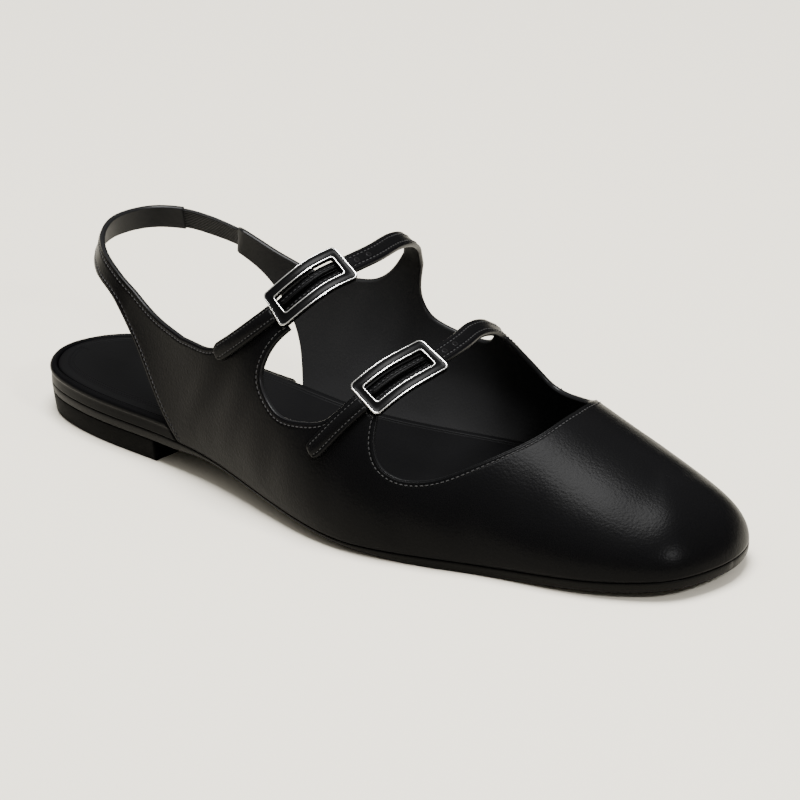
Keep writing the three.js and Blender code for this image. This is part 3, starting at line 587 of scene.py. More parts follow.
grain, grain_in, grain_out = shader_group(
    "leather_grain",
    [
        ("Vector", "NodeSocketVector", None),
        ("Cell Size", "NodeSocketFloat", 0.0006),
        ("Pore Depth", "NodeSocketFloat", 0.5),
    ],
    [("Height", "NodeSocketFloat"), ("Unevenness", "NodeSocketFloat")],
)
cells_per_metre = math_node(grain.nodes, grain.links, "DIVIDE", 1.0, grain_in.outputs["Cell Size"])
grain_cells = grain.nodes.new("ShaderNodeTexVoronoi")
grain_cells.feature = "SMOOTH_F1"
grain_cells.inputs["Smoothness"].default_value = 0.4
grain.links.new(grain_in.outputs["Vector"], grain_cells.inputs["Vector"])
grain.links.new(cells_per_metre, grain_cells.inputs["Scale"])
grain_fine = grain.nodes.new("ShaderNodeTexNoise")
grain_fine.inputs["Detail"].default_value = 3.0
grain_fine_scale = math_node(grain.nodes, grain.links, "MULTIPLY", cells_per_metre, 0.6)
grain.links.new(grain_in.outputs["Vector"], grain_fine.inputs["Vector"])
grain.links.new(grain_fine_scale, grain_fine.inputs["Scale"])
cells_deep = math_node(
    grain.nodes, grain.links, "MULTIPLY", grain_cells.outputs["Distance"], grain_in.outputs["Pore Depth"],
)
grain_height = math_node(grain.nodes, grain.links, "SUBTRACT", grain_fine.outputs["Fac"], cells_deep)
grain.links.new(grain_height, grain_out.inputs["Height"])
grain_broad = grain.nodes.new("ShaderNodeTexNoise")
grain_broad.inputs["Scale"].default_value = 45.0
grain_broad.inputs["Detail"].default_value = 4.0
grain.links.new(grain_in.outputs["Vector"], grain_broad.inputs["Vector"])
grain.links.new(grain_broad.outputs["Fac"], grain_out.inputs["Unevenness"])


groove, groove_in, groove_out = shader_group(
    "edge_groove",
    [
        ("Rim", "NodeSocketFloat", 0.0),
        ("Place", "NodeSocketFloat", 1.3),
        ("Half Width", "NodeSocketFloat", 0.35),
    ],
    [("Depth", "NodeSocketFloat")],
)
groove_offset = math_node(
    groove.nodes, groove.links, "SUBTRACT", groove_in.outputs["Rim"], groove_in.outputs["Place"],
)
groove_scaled = math_node(
    groove.nodes, groove.links, "DIVIDE", groove_offset, groove_in.outputs["Half Width"],
)
groove_square = math_node(groove.nodes, groove.links, "MULTIPLY", groove_scaled, groove_scaled)
groove_fall = math_node(groove.nodes, groove.links, "MULTIPLY", groove_square, -1.0)
groove_depth = math_node(groove.nodes, groove.links, "EXPONENT", groove_fall)
groove.links.new(groove_depth, groove_out.inputs["Depth"])


def finish_material(
    name, color, shade, cell, pores, depth, roughness, uneven,
    coat=0.0, grooves=(), metal=0.0, specular=0.05,
):
    """A finish with grain bumped in millimetres, slight changes of tone and gloss, and rim grooves."""
    material = bpy.data.materials.new(name)
    material.use_nodes = True
    nodes, links = material.node_tree.nodes, material.node_tree.links
    shader = nodes["Principled BSDF"]
    place = nodes.new("ShaderNodeTexCoord")
    surface = nodes.new("ShaderNodeGroup")
    surface.node_tree = grain
    surface.inputs["Cell Size"].default_value = cell
    surface.inputs["Pore Depth"].default_value = pores
    links.new(place.outputs["Object"], surface.inputs["Vector"])
    height = math_node(nodes, links, "MULTIPLY", surface.outputs["Height"], depth)
    if grooves:
        rim_read = nodes.new("ShaderNodeAttribute")
        rim_read.attribute_name = "rim"
        for groove_place, half_width, groove_sink in grooves:
            sunk = nodes.new("ShaderNodeGroup")
            sunk.node_tree = groove
            sunk.inputs["Place"].default_value = groove_place
            sunk.inputs["Half Width"].default_value = half_width
            links.new(rim_read.outputs["Fac"], sunk.inputs["Rim"])
            cut = math_node(nodes, links, "MULTIPLY", sunk.outputs["Depth"], groove_sink)
            height = math_node(nodes, links, "SUBTRACT", height, cut)
    bump = nodes.new("ShaderNodeBump")
    bump.inputs["Strength"].default_value = 1.0
    bump.inputs["Distance"].default_value = 0.001
    links.new(height, bump.inputs["Height"])
    links.new(bump.outputs["Normal"], shader.inputs["Normal"])
    tone = nodes.new("ShaderNodeMix")
    tone.data_type = "RGBA"
    tone.inputs["A"].default_value = (*color, 1)
    tone.inputs["B"].default_value = (*[value * shade for value in color], 1)
    links.new(surface.outputs["Unevenness"], tone.inputs["Factor"])
    links.new(tone.outputs["Result"], shader.inputs["Base Color"])
    gloss = nodes.new("ShaderNodeMapRange")
    gloss.inputs["To Min"].default_value = roughness - uneven
    gloss.inputs["To Max"].default_value = roughness + uneven
    links.new(surface.outputs["Unevenness"], gloss.inputs["Value"])
    links.new(gloss.outputs["Result"], shader.inputs["Roughness"])
    shader.inputs["Metallic"].default_value = metal
    shader.inputs["Specular IOR Level"].default_value = 0.5 if metal else specular
    shader.inputs["Coat Weight"].default_value = coat
    shader.inputs["Coat Roughness"].default_value = 0.22
    return material


edge_fold = (0.25, 0.3, 0.1)
stitch_groove = (1.35, 0.42, 0.12)
calf = finish_material(
    "black_calf", color=(0.0017, 0.0017, 0.0019), shade=1.7, cell=0.0007, pores=0.6, depth=0.05,
    roughness=0.34, uneven=0.06, grooves=[edge_fold, stitch_groove], specular=0.035,
)
lining = finish_material(
    "black_lining", color=(0.012, 0.012, 0.0124), shade=1.3, cell=0.0005, pores=0.4, depth=0.03,
    roughness=0.6, uneven=0.05, specular=0.15,
)
# Edge finish: a real glossy edge paint, its tone lighter than the calf as a painted highlight along cut
# edges.
edge_paint = finish_material(
    "edge_paint", color=(0.006, 0.006, 0.0064), shade=1.4, cell=0.0004, pores=0.3, depth=0.015,
    roughness=0.32, uneven=0.05, coat=0.08,
)

# Soft troughs left by lasting and wear, each from one place on the last to another: side, section and
# height of both ends, then half width and depth in millimetres.
creases = [
    [-1, 6.65, 0.46, 6.05, 0.1, 4.0, 0.3],
    [-1, 6.25, 0.3, 5.75, 0.08, 3.0, 0.18],
    [-1, 7.55, 0.33, 7.35, 0.05, 5.0, 0.25],
    [-1, 8.72, 0.5, 8.6, 0.1, 5.0, 0.3],
    [-1, 9.65, 0.34, 9.9, 0.05, 3.6, 0.2],
    [-1, 10.5, 0.4, 10.9, 0.08, 4.2, 0.22],
    [-1, 11.4, 0.62, 12.0, 0.2, 4.5, 0.16],
    [-1, 13.6, 0.8, 13.9, 0.3, 6.0, 0.14],
    [1, 6.5, 0.4, 6.2, 0.08, 4.0, 0.3],
    [1, 7.55, 0.33, 7.4, 0.05, 5.0, 0.25],
    [1, 8.75, 0.55, 8.7, 0.1, 5.0, 0.3],
    [1, 10.2, 0.38, 10.6, 0.08, 4.0, 0.22],
    [1, 11.5, 0.6, 12.0, 0.2, 4.5, 0.16],
]
ridge_share = 0.45
ridge_distance = 1.9

sheet_points, sheet_faces, sheet_up = sheet_from(grids)
at_sole = sheet_up == 0
relief = np.zeros(len(sheet_points))
for side, start_row, start_up, end_row, end_up, half_width, depth in creases:
    share = np.linspace(0, 1, 41)
    crease_row = start_row + (end_row - start_row) * share
    crease_up = start_up + (end_up - start_up) * share
    line = last_points(side, crease_row, crease_up)
    gap = np.linalg.norm(sheet_points[:, None, :] - line[None], axis=2)
    nearest = gap.argmin(axis=1)
    distance = gap[np.arange(len(gap)), nearest] / half_width
    fade = np.sin(math.pi * np.clip(share[nearest], 0.02, 0.98)) ** 0.7
    trough = -np.exp(-distance ** 2)
    ridges = ridge_share * np.exp(-(distance - ridge_distance) ** 2)
    relief += depth * fade * (trough + ridges)
relief[at_sole] = 0
sheet_points = sheet_points + sheet_normals(sheet_points, sheet_faces) * relief[:, None]
upper_points, upper_faces, upper_kinds = shell(sheet_points, sheet_faces, upper_wall, at_sole)


def near_distances(points, targets):
    """The distance in millimetres from each point to the nearest of the targets."""
    tree = KDTree(len(targets))
    for number, target in enumerate(targets):
        tree.insert(target, number)
    tree.balance()
    return np.array([tree.find(point)[2] for point in points])


cut_runs = []
for loop in sheet_loops(sheet_faces):
    free = ~at_sole[loop]
    if free.all():
        cut_runs.append(loop)
        continue
    start = int(np.flatnonzero(free & ~np.roll(free, 1))[0])
    turned = np.roll(loop, -start)
    free = np.roll(free, -start)
    ends = np.flatnonzero(np.diff(np.concatenate([[0], free.astype(int), [0]])))
    cut_runs += [turned[first:last] for first, last in zip(ends[::2], ends[1::2])]
cut_border = sheet_points[np.concatenate(cut_runs)]
sheet_rim = near_distances(sheet_points, cut_border)
rim_values = np.zeros(len(upper_points))
rim_values[:len(sheet_rim)] = sheet_rim
rim_values[len(sheet_rim):2 * len(sheet_rim)] = sheet_rim
upper = make_object("upper_leather", upper_points, upper_faces, [calf, lining, edge_paint], upper_kinds)
add_values(upper, "rim", rim_values)
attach(upper, "root")
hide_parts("upper")

# Stitching
# Short thread stitches in rows along every cut edge, along the seam of the inner side, and round the
# outer strap pieces. Each row is laid by one node group and then made a plain mesh.
thread = finish_material(
    "thread", color=(0.03, 0.03, 0.031), shade=1.5, cell=0.0002, pores=0.5, depth=0.02, roughness=0.42,
    uneven=0.08,
)


def stitch_group():
    group = bpy.data.node_groups.new("stitch_rows", "GeometryNodeTree")
    face = group.interface
    face.new_socket("Geometry", in_out="INPUT", socket_type="NodeSocketGeometry")
    sockets = {}
    for label in ("Pitch", "Length", "Width"):
        sockets[label] = face.new_socket(label, in_out="INPUT", socket_type="NodeSocketFloat").identifier
    sockets["Seed"] = face.new_socket("Seed", in_out="INPUT", socket_type="NodeSocketInt").identifier
    sockets["Thread"] = face.new_socket("Thread", in_out="INPUT", socket_type="NodeSocketMaterial").identifier
    face.new_socket("Geometry", in_out="OUTPUT", socket_type="NodeSocketGeometry")
    nodes, links = group.nodes, group.links
    given = nodes.new("NodeGroupInput")
    to_curve = nodes.new("GeometryNodeMeshToCurve")
    links.new(given.outputs["Geometry"], to_curve.inputs["Mesh"])
    spaced = nodes.new("GeometryNodeResampleCurve")
    spaced.mode = "LENGTH"
    links.new(to_curve.outputs["Curve"], spaced.inputs["Curve"])
    links.new(given.outputs["Pitch"], spaced.inputs["Length"])
    bead = nodes.new("GeometryNodeMeshUVSphere")
    bead.inputs["Segments"].default_value = 8
    bead.inputs["Rings"].default_value = 6
    bead.inputs["Radius"].default_value = 0.5
    tangent = nodes.new("GeometryNodeInputTangent")
    along = nodes.new("FunctionNodeAlignRotationToVector")
    along.axis = "X"
    links.new(tangent.outputs["Tangent"], along.inputs["Vector"])
    uneven = nodes.new("FunctionNodeRandomValue")
    uneven.data_type = "FLOAT"
    uneven.inputs[2].default_value = 0.85
    uneven.inputs[3].default_value = 1.1
    links.new(given.outputs["Seed"], uneven.inputs["Seed"])
    long = nodes.new("ShaderNodeMath")
    long.operation = "MULTIPLY"
    links.new(given.outputs["Length"], long.inputs[0])
    links.new(uneven.outputs[1], long.inputs[1])
    size = nodes.new("ShaderNodeCombineXYZ")
    links.new(long.outputs[0], size.inputs["X"])
    links.new(given.outputs["Width"], size.inputs["Y"])
    links.new(given.outputs["Width"], size.inputs["Z"])
    laid = nodes.new("GeometryNodeInstanceOnPoints")
    links.new(spaced.outputs["Curve"], laid.inputs["Points"])
    links.new(bead.outputs["Mesh"], laid.inputs["Instance"])
    links.new(along.outputs["Rotation"], laid.inputs["Rotation"])
    links.new(size.outputs["Vector"], laid.inputs["Scale"])
    real = nodes.new("GeometryNodeRealizeInstances")
    links.new(laid.outputs["Instances"], real.inputs["Geometry"])
    painted = nodes.new("GeometryNodeSetMaterial")
    links.new(real.outputs["Geometry"], painted.inputs["Geometry"])
    links.new(given.outputs["Thread"], painted.inputs["Material"])
    result = nodes.new("NodeGroupOutput")
    links.new(painted.outputs["Geometry"], result.inputs["Geometry"])
    return group, sockets


stitches, stitch_sockets = stitch_group()


def stitch_rows(name, lines, pitch, length, width, seed):
    """Rows of stitches along lines of points, as one plain mesh. Sizes are in millimetres."""
    points = np.concatenate(lines)
    edges = []
    base = 0
    for line in lines:
        edges += [(base + i, base + i + 1) for i in range(len(line) - 1)]
        base += len(line)
    mesh = bpy.data.meshes.new(name)
    mesh.from_pydata(in_part(points).tolist(), edges, [])
    made = bpy.data.objects.new(name, mesh)
    bpy.context.collection.objects.link(made)
    modifier = made.modifiers.new("stitches", "NODES")
    modifier.node_group = stitches
    modifier[stitch_sockets["Pitch"]] = pitch / 1000
    modifier[stitch_sockets["Length"]] = length / 1000
    modifier[stitch_sockets["Width"]] = width / 1000
    modifier[stitch_sockets["Seed"]] = seed
    modifier[stitch_sockets["Thread"]] = thread
    bpy.context.view_layer.update()
    done = bpy.data.meshes.new_from_object(made.evaluated_get(bpy.context.evaluated_depsgraph_get()))
    made.modifiers.clear()
    made.data = done
    done.polygons.foreach_set("use_smooth", np.ones(len(done.polygons), bool))
    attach(made, "root")


def smoothed(values, passes=3):
    for _ in range(passes):
        before = np.concatenate([values[:1], values[:-1]])
        after = np.concatenate([values[1:], values[-1:]])
        values = (before + 2 * values + after) / 4
    return values


edge_margin = 1.35
stitch_rise = 0.06
normals_on_sheet = sheet_normals(sheet_points, sheet_faces)
edge_rows = []
for run in cut_runs:
    line = sheet_points[run]
    normal = normals_on_sheet[run]
    out = np.cross(np.gradient(line, axis=0), normal)
    out = smoothed(out / np.maximum(np.linalg.norm(out, axis=1, keepdims=True), 1e-9))
    row = line - out * edge_margin + normal * stitch_rise
    straight = np.einsum("ij,ij->i", np.diff(row, axis=0), np.diff(line, axis=0)) > 0
    keep = (near_distances(row, cut_border) > edge_margin * 0.8) & np.concatenate([[True], straight])
    for piece in np.split(np.arange(len(row)), np.flatnonzero(~keep)):
        piece = piece[keep[piece]]
        if len(piece) > 5:
            edge_rows.append(row[piece])
stitch_rows("edge_stitches", edge_rows, pitch=1.55, length=1.15, width=0.34, seed=3)

inner_seam = [(9.72, 0.435), (9.71, 0.371), (9.64, 0.248), (9.57, 0.113), (9.55, 0.017)]
seam_sections = cubic_through([row[0] for row in inner_seam], False)
seam_ups = cubic_through([row[1] for row in inner_seam], False)
seam_place = np.linspace(0.1, len(inner_seam) - 1, 60)
seam_rows = []
for shift in (-0.035, 0.035):
    seam_line = last_points(1, seam_sections(seam_place) + shift, seam_ups(seam_place))
    nearest = np.linalg.norm(seam_line[:, None] - sheet_points[None], axis=2).argmin(axis=1)
    offset = np.einsum("ij,ij->i", sheet_points[nearest] - seam_line, normals_on_sheet[nearest])
    seam_rows.append(seam_line + normals_on_sheet[nearest] * (offset + stitch_rise)[:, None])
stitch_rows("inner_seam_stitches", seam_rows, pitch=1.7, length=1.25, width=0.36, seed=5)

# Outer strap pieces
# A padded strap with a rounded tip lies on the outer quarter and holds its buckle. Its middle is raised
# between two sunken rows of stitches.
pad_profile = [
    (-1.0, 0.0), (-0.99, 0.45), (-0.93, 0.8), (-0.8, 0.98), (-0.68, 0.93), (-0.6, 0.88), (-0.5, 0.97),
    (-0.36, 1.13), (-0.18, 1.2), (0.0, 1.22), (0.18, 1.2), (0.36, 1.13), (0.5, 0.97), (0.6, 0.88),
    (0.68, 0.93), (0.8, 0.98), (0.93, 0.8), (0.99, 0.45), (1.0, 0.0), (0.5, 0.0), (-0.5, 0.0),
]
pad_thickness = 1.45
tip_round = 1.3


def loft(rings, closed=False):
    """Faces over a row of closed rings, capped at both ends unless closed, and each face's lane."""
    rings = np.asarray(rings, float)
    index = np.arange(rings.shape[0] * rings.shape[1]).reshape(rings.shape[:2])
    if closed:
        index = np.vstack([index, index[:1]])
    around = np.roll(index, -1, axis=1)
    faces = np.stack([index[:-1], index[1:], around[1:], around[:-1]], axis=-1).reshape(-1, 4).tolist()
    lanes = np.tile(np.arange(rings.shape[1]), len(index) - 1).tolist()
    if not closed:
        faces += [index[0].tolist(), index[-1][::-1].tolist()]
        lanes += [-1, -1]
    return rings.reshape(-1, 3), faces, lanes


def solid(name, points, faces, materials, kinds=None):
    """A closed piece: points at one place joined, faces turned outward."""
    _, first, inverse = np.unique(np.round(points, 3), axis=0, return_index=True, return_inverse=True)
    inverse = inverse.reshape(-1)
    kept, kept_kinds = [], []
    for number, face in enumerate(faces):
        corners = list(dict.fromkeys(inverse[face].tolist()))
        if len(corners) > 2:
            kept.append(corners)
            kept_kinds.append(0 if kinds is None else kinds[number])
    made = make_object(name, points[first], kept, materials, kept_kinds)
    work = bmesh.new()
    work.from_mesh(made.data)
    if work.calc_volume(signed=True) < 0:
        bmesh.ops.reverse_faces(work, faces=work.faces)
        work.to_mesh(made.data)
    work.free()
    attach(made, "root")
    return made


strap_leather = finish_material(
    "strap_calf", color=(0.0018, 0.0018, 0.002), shade=1.6, cell=0.0006, pores=0.5, depth=0.04,
    roughness=0.34, uneven=0.05,
)
strap_stitches = []
for name, course in (("rear", rear_strap), ("front", front_strap)):
    start = course.distance_at(buckle_girth[name]) + buckle_length / 2 + fit_gap
    radius = strap_width / 2
    rings = []
    for place in start + (course.length - start) * np.sin(np.linspace(0, math.pi / 2, 61)):
        left = max(course.length - place, 0.0)
        half = math.sqrt(max(radius ** 2 - (radius - left) ** 2, 0)) if left < radius else radius
        high = pad_thickness * math.sin(math.pi / 2 * min(left / tip_round, 1)) ** 0.6
        rings.append([course.point(place, half * across, fit_gap + high * up) for across, up in pad_profile])
    points, faces, _ = loft(rings)
    strap = solid("strap_" + name + "_outer", points, faces, [strap_leather])
    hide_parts("strap_" + name + "_lateral")
    line_half = radius - 1.2
    line_rise = fit_gap + pad_thickness * 0.9
    straight = np.linspace(start + 0.9, course.length - radius, 40)
    turn_angle = np.linspace(0, math.pi, 24)[1:-1]
    round_tip = course.length - radius + line_half * np.sin(turn_angle)
    places = np.concatenate([straight, round_tip, straight[::-1]])
    one_side = np.ones(len(straight))
    across = np.concatenate([one_side, np.cos(turn_angle), -one_side]) * line_half
    strap_stitches.append(course.point(places, across, np.full(len(places), line_rise)))
stitch_rows("strap_stitches", strap_stitches, pitch=1.3, length=0.95, width=0.32, seed=7)

# Buckles
# Plain rounded rectangular frames, black lacquer on the face and polished bevels along both edges. A
# prong lies along the strap across the window. Small holes in the strap are not cut: each is a low ring
# round a matte near-black disc, painted shade for the inside of the hole.
steel = finish_material(
    "polished_steel", color=(0.72, 0.72, 0.70), shade=0.9, cell=0.0003, pores=0.2, depth=0.004,
    roughness=0.16, uneven=0.05, metal=1.0,
)
lacquer = finish_material(
    "buckle_lacquer", color=(0.002, 0.002, 0.0022), shade=1.2, cell=0.0005, pores=0.2, depth=0.004,
    roughness=0.3, uneven=0.04,
)
# Painted shade: the matte near-black disc laid where each strap hole's shaded inside would be.
hole_dark = finish_material(
    "hole_dark", color=(0.004, 0.004, 0.004), shade=1.2, cell=0.0004, pores=0.3, depth=0.02,
    roughness=0.8, uneven=0.05,
)
frame_profile = [
    (0.0, 0.15), (0.0, 1.45), (0.03, 1.68), (0.1, 1.8), (0.13, 1.7), (0.5, 1.73), (0.87, 1.7), (0.9, 1.8),
    (0.97, 1.68), (1.0, 1.45), (1.0, 0.15), (0.93, 0.0), (0.07, 0.0),
]
bright_lanes = (2, 3, 6, 7)


def rounded_loop(half_length, half_width, radius, corner_steps=8, side_steps=24):
    """A rounded rectangle whose long sides run along the first axis."""
    loop = []
    for x, y, quarter in ((1, 1, 0), (-1, 1, 1), (-1, -1, 2), (1, -1, 3)):
        for step in range(corner_steps + 1):
            angle = (quarter + step / corner_steps) * math.pi / 2
            loop.append((
                x * (half_length - radius) + radius * math.cos(angle),
                y * (half_width - radius) + radius * math.sin(angle),
            ))
        if quarter in (0, 2):
            for step in range(1, side_steps):
                loop.append((x * (half_length - radius) * (1 - 2 * step / side_steps), y * half_width))
    return np.array(loop)


outer_loop = rounded_loop(buckle_length / 2, buckle_width / 2, 1.6)
inner_loop = rounded_loop(buckle_length / 2 - buckle_bar, buckle_window / 2, 0.8)
prong_half = 0.65
prong_rise = 1.5
for name, course in (("rear", rear_strap), ("front", front_strap)):
    centre = course.distance_at(buckle_girth[name])
    rings = []
    for outer, inner in zip(outer_loop, inner_loop):
        ring = []
        for share, rise in frame_profile:
            along, across = outer + (inner - outer) * share
            ring.append(course.point(centre + along, across, fit_gap + rise))
        rings.append(ring)
    points, faces, lanes = loft(rings, True)
    kinds = [0 if lane in bright_lanes else 1 for lane in lanes]
    frame_piece = solid("buckle_" + name, points, faces, [steel, lacquer], kinds)
    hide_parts("buckle_" + name + "_frame")
    reach = buckle_length / 2 - buckle_bar - fit_gap
    rings = []
    for share in np.linspace(-1, 1, 33):
        into_end = max(abs(share) * reach - reach + 0.7, 0) / 0.7
        end_round = math.sqrt(max(1 - into_end ** 2, 0.0))
        half = prong_half * (0.8 + 0.2 * share) * max(end_round, 0.05)
        high = prong_rise * (0.75 + 0.25 * end_round)
        angle = np.linspace(0, 2 * math.pi, 13)[:-1]
        rise = fit_gap + high / 2 * (1 + np.sin(angle))
        rings.append(course.point(np.full(12, centre + reach * share), half * np.cos(angle), rise))
    points, faces, _ = loft(rings)
    prong = solid("prong_" + name, points, faces, [lacquer])
    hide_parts("buckle_" + name + "_prong")

hole_profile = [(0.95, -0.15), (0.9, 0.03), (0.72, 0.08), (0.55, 0.03), (0.3, -0.02)]
for name, course in (("rear", rear_strap), ("front", front_strap)):
    centre = course.distance_at(buckle_girth[name])
    for number, before in enumerate((17.5, 22.5)):
        angle = np.linspace(0, 2 * math.pi, 17)[:-1]
        rings = [
            course.point(centre - before + radius * np.cos(angle), radius * np.sin(angle), np.full(16, rise))
            for radius, rise in hole_profile
        ]
        points, faces, lanes = loft(rings)
        # The hole's ring takes the edge finish with its painted highlight, its centre disc the painted hole
        # shade.
        kinds = [0 if face[0] < 32 else 1 for face in faces]
        kinds[-2:] = [0, 1]
        hole = solid("strap_hole_" + name + "_" + str(number), points, faces, [edge_paint, hole_dark], kinds)

# Sling elastic
# A fine-ribbed elastic on the inner side of the heel, a little narrower than the leather it joins.
elastic_width = 6.6
elastic_thickness = 1.1
elastic_tuck = 0.006
elastic_length_steps, elastic_width_steps = 70, 34
elastic_from = elastic_start - sling_gap + elastic_tuck
elastic_place = np.linspace(elastic_from, leather_end - elastic_tuck, elastic_length_steps)
elastic_lines = through_points(sling, elastic_place)
shrink = (1 - elastic_width / sling_width) / 2
lane_place = np.linspace(shrink, 1 - shrink, elastic_width_steps) * (elastic_lines.shape[1] - 1)
low_lane = lane_place.astype(int)
lane_share = (lane_place - low_lane)[None, :, None]
elastic_grid = elastic_lines[:, low_lane] * (1 - lane_share) + elastic_lines[:, low_lane + 1] * lane_share
elastic_points, elastic_faces, _ = sheet_from([(elastic_grid, False, np.ones(elastic_grid.shape[:2]))])
elastic_sink = (upper_wall - elastic_thickness) / 2
elastic_points = elastic_points - sheet_normals(elastic_points, elastic_faces) * elastic_sink
whole_points, whole_faces, _ = shell(elastic_points, elastic_faces, elastic_thickness, None, 0.15)
_, first_seen = np.unique(np.round(elastic_grid.reshape(-1, 3), 3), axis=0, return_index=True)
elastic_length = np.linalg.norm(np.diff(elastic_grid[:, elastic_width_steps // 2], axis=0), axis=1).sum()
weave_values = {
    "across": np.tile(np.linspace(0, elastic_width, elastic_width_steps), elastic_length_steps)[first_seen],
    "along": np.repeat(np.linspace(0, elastic_length, elastic_length_steps), elastic_width_steps)[first_seen],
}
ribs = bpy.data.materials.new("ribbed_elastic")
ribs.use_nodes = True
rib_nodes, rib_links = ribs.node_tree.nodes, ribs.node_tree.links
rib_shader = rib_nodes["Principled BSDF"]
rib_shader.inputs["Base Color"].default_value = (0.004, 0.004, 0.0043, 1)
rib_shader.inputs["Specular IOR Level"].default_value = 0.15
rib_shader.inputs["Sheen Weight"].default_value = 0.08
rib_waves = {}
for label, spacing in (("across", 0.66), ("along", 0.5)):
    read = rib_nodes.new("ShaderNodeAttribute")
    read.attribute_name = label
    turns = math_node(rib_nodes, rib_links, "MULTIPLY", read.outputs["Fac"], 2 * math.pi / spacing)
    rib_waves[label] = math_node(rib_nodes, rib_links, "SINE", turns)
yarn_part = math_node(rib_nodes, rib_links, "MULTIPLY", rib_waves["along"], 0.35)
rib_height = math_node(rib_nodes, rib_links, "ADD", rib_waves["across"], yarn_part)
rib_bump = rib_nodes.new("ShaderNodeBump")
rib_bump.inputs["Distance"].default_value = 0.00008
rib_links.new(rib_height, rib_bump.inputs["Height"])
rib_links.new(rib_bump.outputs["Normal"], rib_shader.inputs["Normal"])
rib_gloss = rib_nodes.new("ShaderNodeMapRange")
for label, value in (("From Min", -1.3), ("From Max", 1.3), ("To Min", 0.62), ("To Max", 0.82)):
    rib_gloss.inputs[label].default_value = value
rib_links.new(rib_height, rib_gloss.inputs["Value"])
rib_links.new(rib_gloss.outputs["Result"], rib_shader.inputs["Roughness"])
elastic = make_object("elastic_band", whole_points, whole_faces, [ribs])
for label, values in weave_values.items():
    spread = np.zeros(len(whole_points))
    spread[:len(values)] = values
    spread[len(values):2 * len(values)] = values
    add_values(elastic, label, spread)
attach(elastic, "root")
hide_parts("sling_elastic")

# Insole
# A padded sock over the whole inside, dished in the middle, with a soft rim and two fine lines near it.
nudge = 0.004
height_rows = np.linspace(0, last_row, 1200)
height_edge = edge_points(-1, height_rows)


def sole_height(x):
    return np.interp(x, height_edge[:, 0], height_edge[:, 2])


def outline_points(side, row, inset):
    """The sole's outline moved inward, at height 0."""
    row = np.asarray(row, float)
    ahead = edge_points(side, np.minimum(row + nudge, last_row))
    behind = edge_points(side, np.maximum(row - nudge, 0))
    heading = ahead - behind
    length = np.hypot(heading[:, 0], heading[:, 1])
    point = edge_points(side, row)
    move = np.stack([side * heading[:, 1], -side * heading[:, 0]], axis=1) / length[:, None]
    move[row == 0] = (1, 0)
    move[row == last_row] = (-1, 0)
    point[:, :2] += move * np.broadcast_to(np.asarray(inset, float), row.shape)[:, None]
    point[:, 2] = 0
    return point


def spread_rows(end=17.0):
    """Section places from the heel on, close together round the heel and the toe."""
    heel_part = np.linspace(0, 3, 30)[:-1]
    middle_part = np.linspace(3, 12, 80)[:-1]
    toe_part = np.linspace(12, 17, 50)
    places = np.concatenate([heel_part, middle_part, toe_part])
    return places * end / last_row


def cross_lines(rows, inset, rim_steps, inner_steps):
    """Lines across the sole's plan, from its outer to its inner side, closer together near the rims."""
    outer = [outline_points(-1, rows[0], inset + step) for step in rim_steps]
    inner = [outline_points(1, rows[1], inset + step) for step in rim_steps]
    shares = np.linspace(0, 1, inner_steps + 1)[1:-1]
    middle = [outer[-1] + (inner[-1] - outer[-1]) * share for share in shares]
    return np.stack([*outer, *middle, *inner[::-1]], axis=1)


def plate(name, rows, top_lines, side_profile, bottom, materials, own_underside=False):
    """A plate from its top lines, its side (insets and heights from top to bottom) and its bottom heights."""
    sides = []
    for side, side_rows in ((1, rows[1]), (-1, rows[0])):
        lines = []
        for inset, height in side_profile:
            line = outline_points(side, side_rows, inset)
            line[:, 2] = height(line[:, 0])
            lines.append(line)
        sides.append(np.stack(lines, axis=1))
    inner_side, outer_side = sides
    shares = np.linspace(0, 1, 15)[None, 1:-1, None]
    across = inner_side[:, -1:] + (outer_side[:, -1:] - inner_side[:, -1:]) * shares
    across[..., 2] = bottom(across[..., 0])
    rings = np.concatenate([top_lines, inner_side, across, outer_side[:, ::-1]], axis=1)
    points, faces, lanes = loft(rings)
    first_bottom = top_lines.shape[1] + inner_side.shape[1] - 1
    bottom_lanes = range(first_bottom, first_bottom + across.shape[1] + 1)
    kinds = [1 if own_underside and lane in bottom_lanes else 0 for lane in lanes]
    return solid(name, points, faces, materials, kinds)


insole_inset = 2.2
insole_front, insole_rear = 3.6, 5.5
insole_rise_from, insole_rise_to = 60.0, 110.0
insole_dish, insole_dish_width = 0.9, 25.0
insole_edge, insole_edge_width = 0.9, 3.0
insole_rim_steps = (0, 0.25, 0.6, 1.0, 1.5, 2.1, 2.7, 3.2, 3.6, 4.2, 4.8, 5.6, 6.6, 8.0)
insole_calf = finish_material(
    "insole_calf", color=(0.0022, 0.0022, 0.0024), shade=1.5, cell=0.0006, pores=0.4, depth=0.03,
    roughness=0.44, uneven=0.05, grooves=[(3.5, 0.3, 0.16), (4.7, 0.22, 0.1)],
)
rows = spread_rows()
lines = cross_lines((rows, rows), insole_inset, insole_rim_steps, 24)
outline = np.concatenate([outline_points(side, rows, insole_inset) for side in (-1, 1)])
rim = near_distances(lines.reshape(-1, 3), outline).reshape(lines.shape[:2])


def insole_rise(x):
    return insole_front + (insole_rear - insole_front) * smooth_step(insole_rise_to, insole_rise_from, x)


def insole_low(x):
    return sole_height(x) + fit_gap


def insole_shoulder(x):
    return sole_height(x) + insole_rise(x) - insole_edge - 0.3


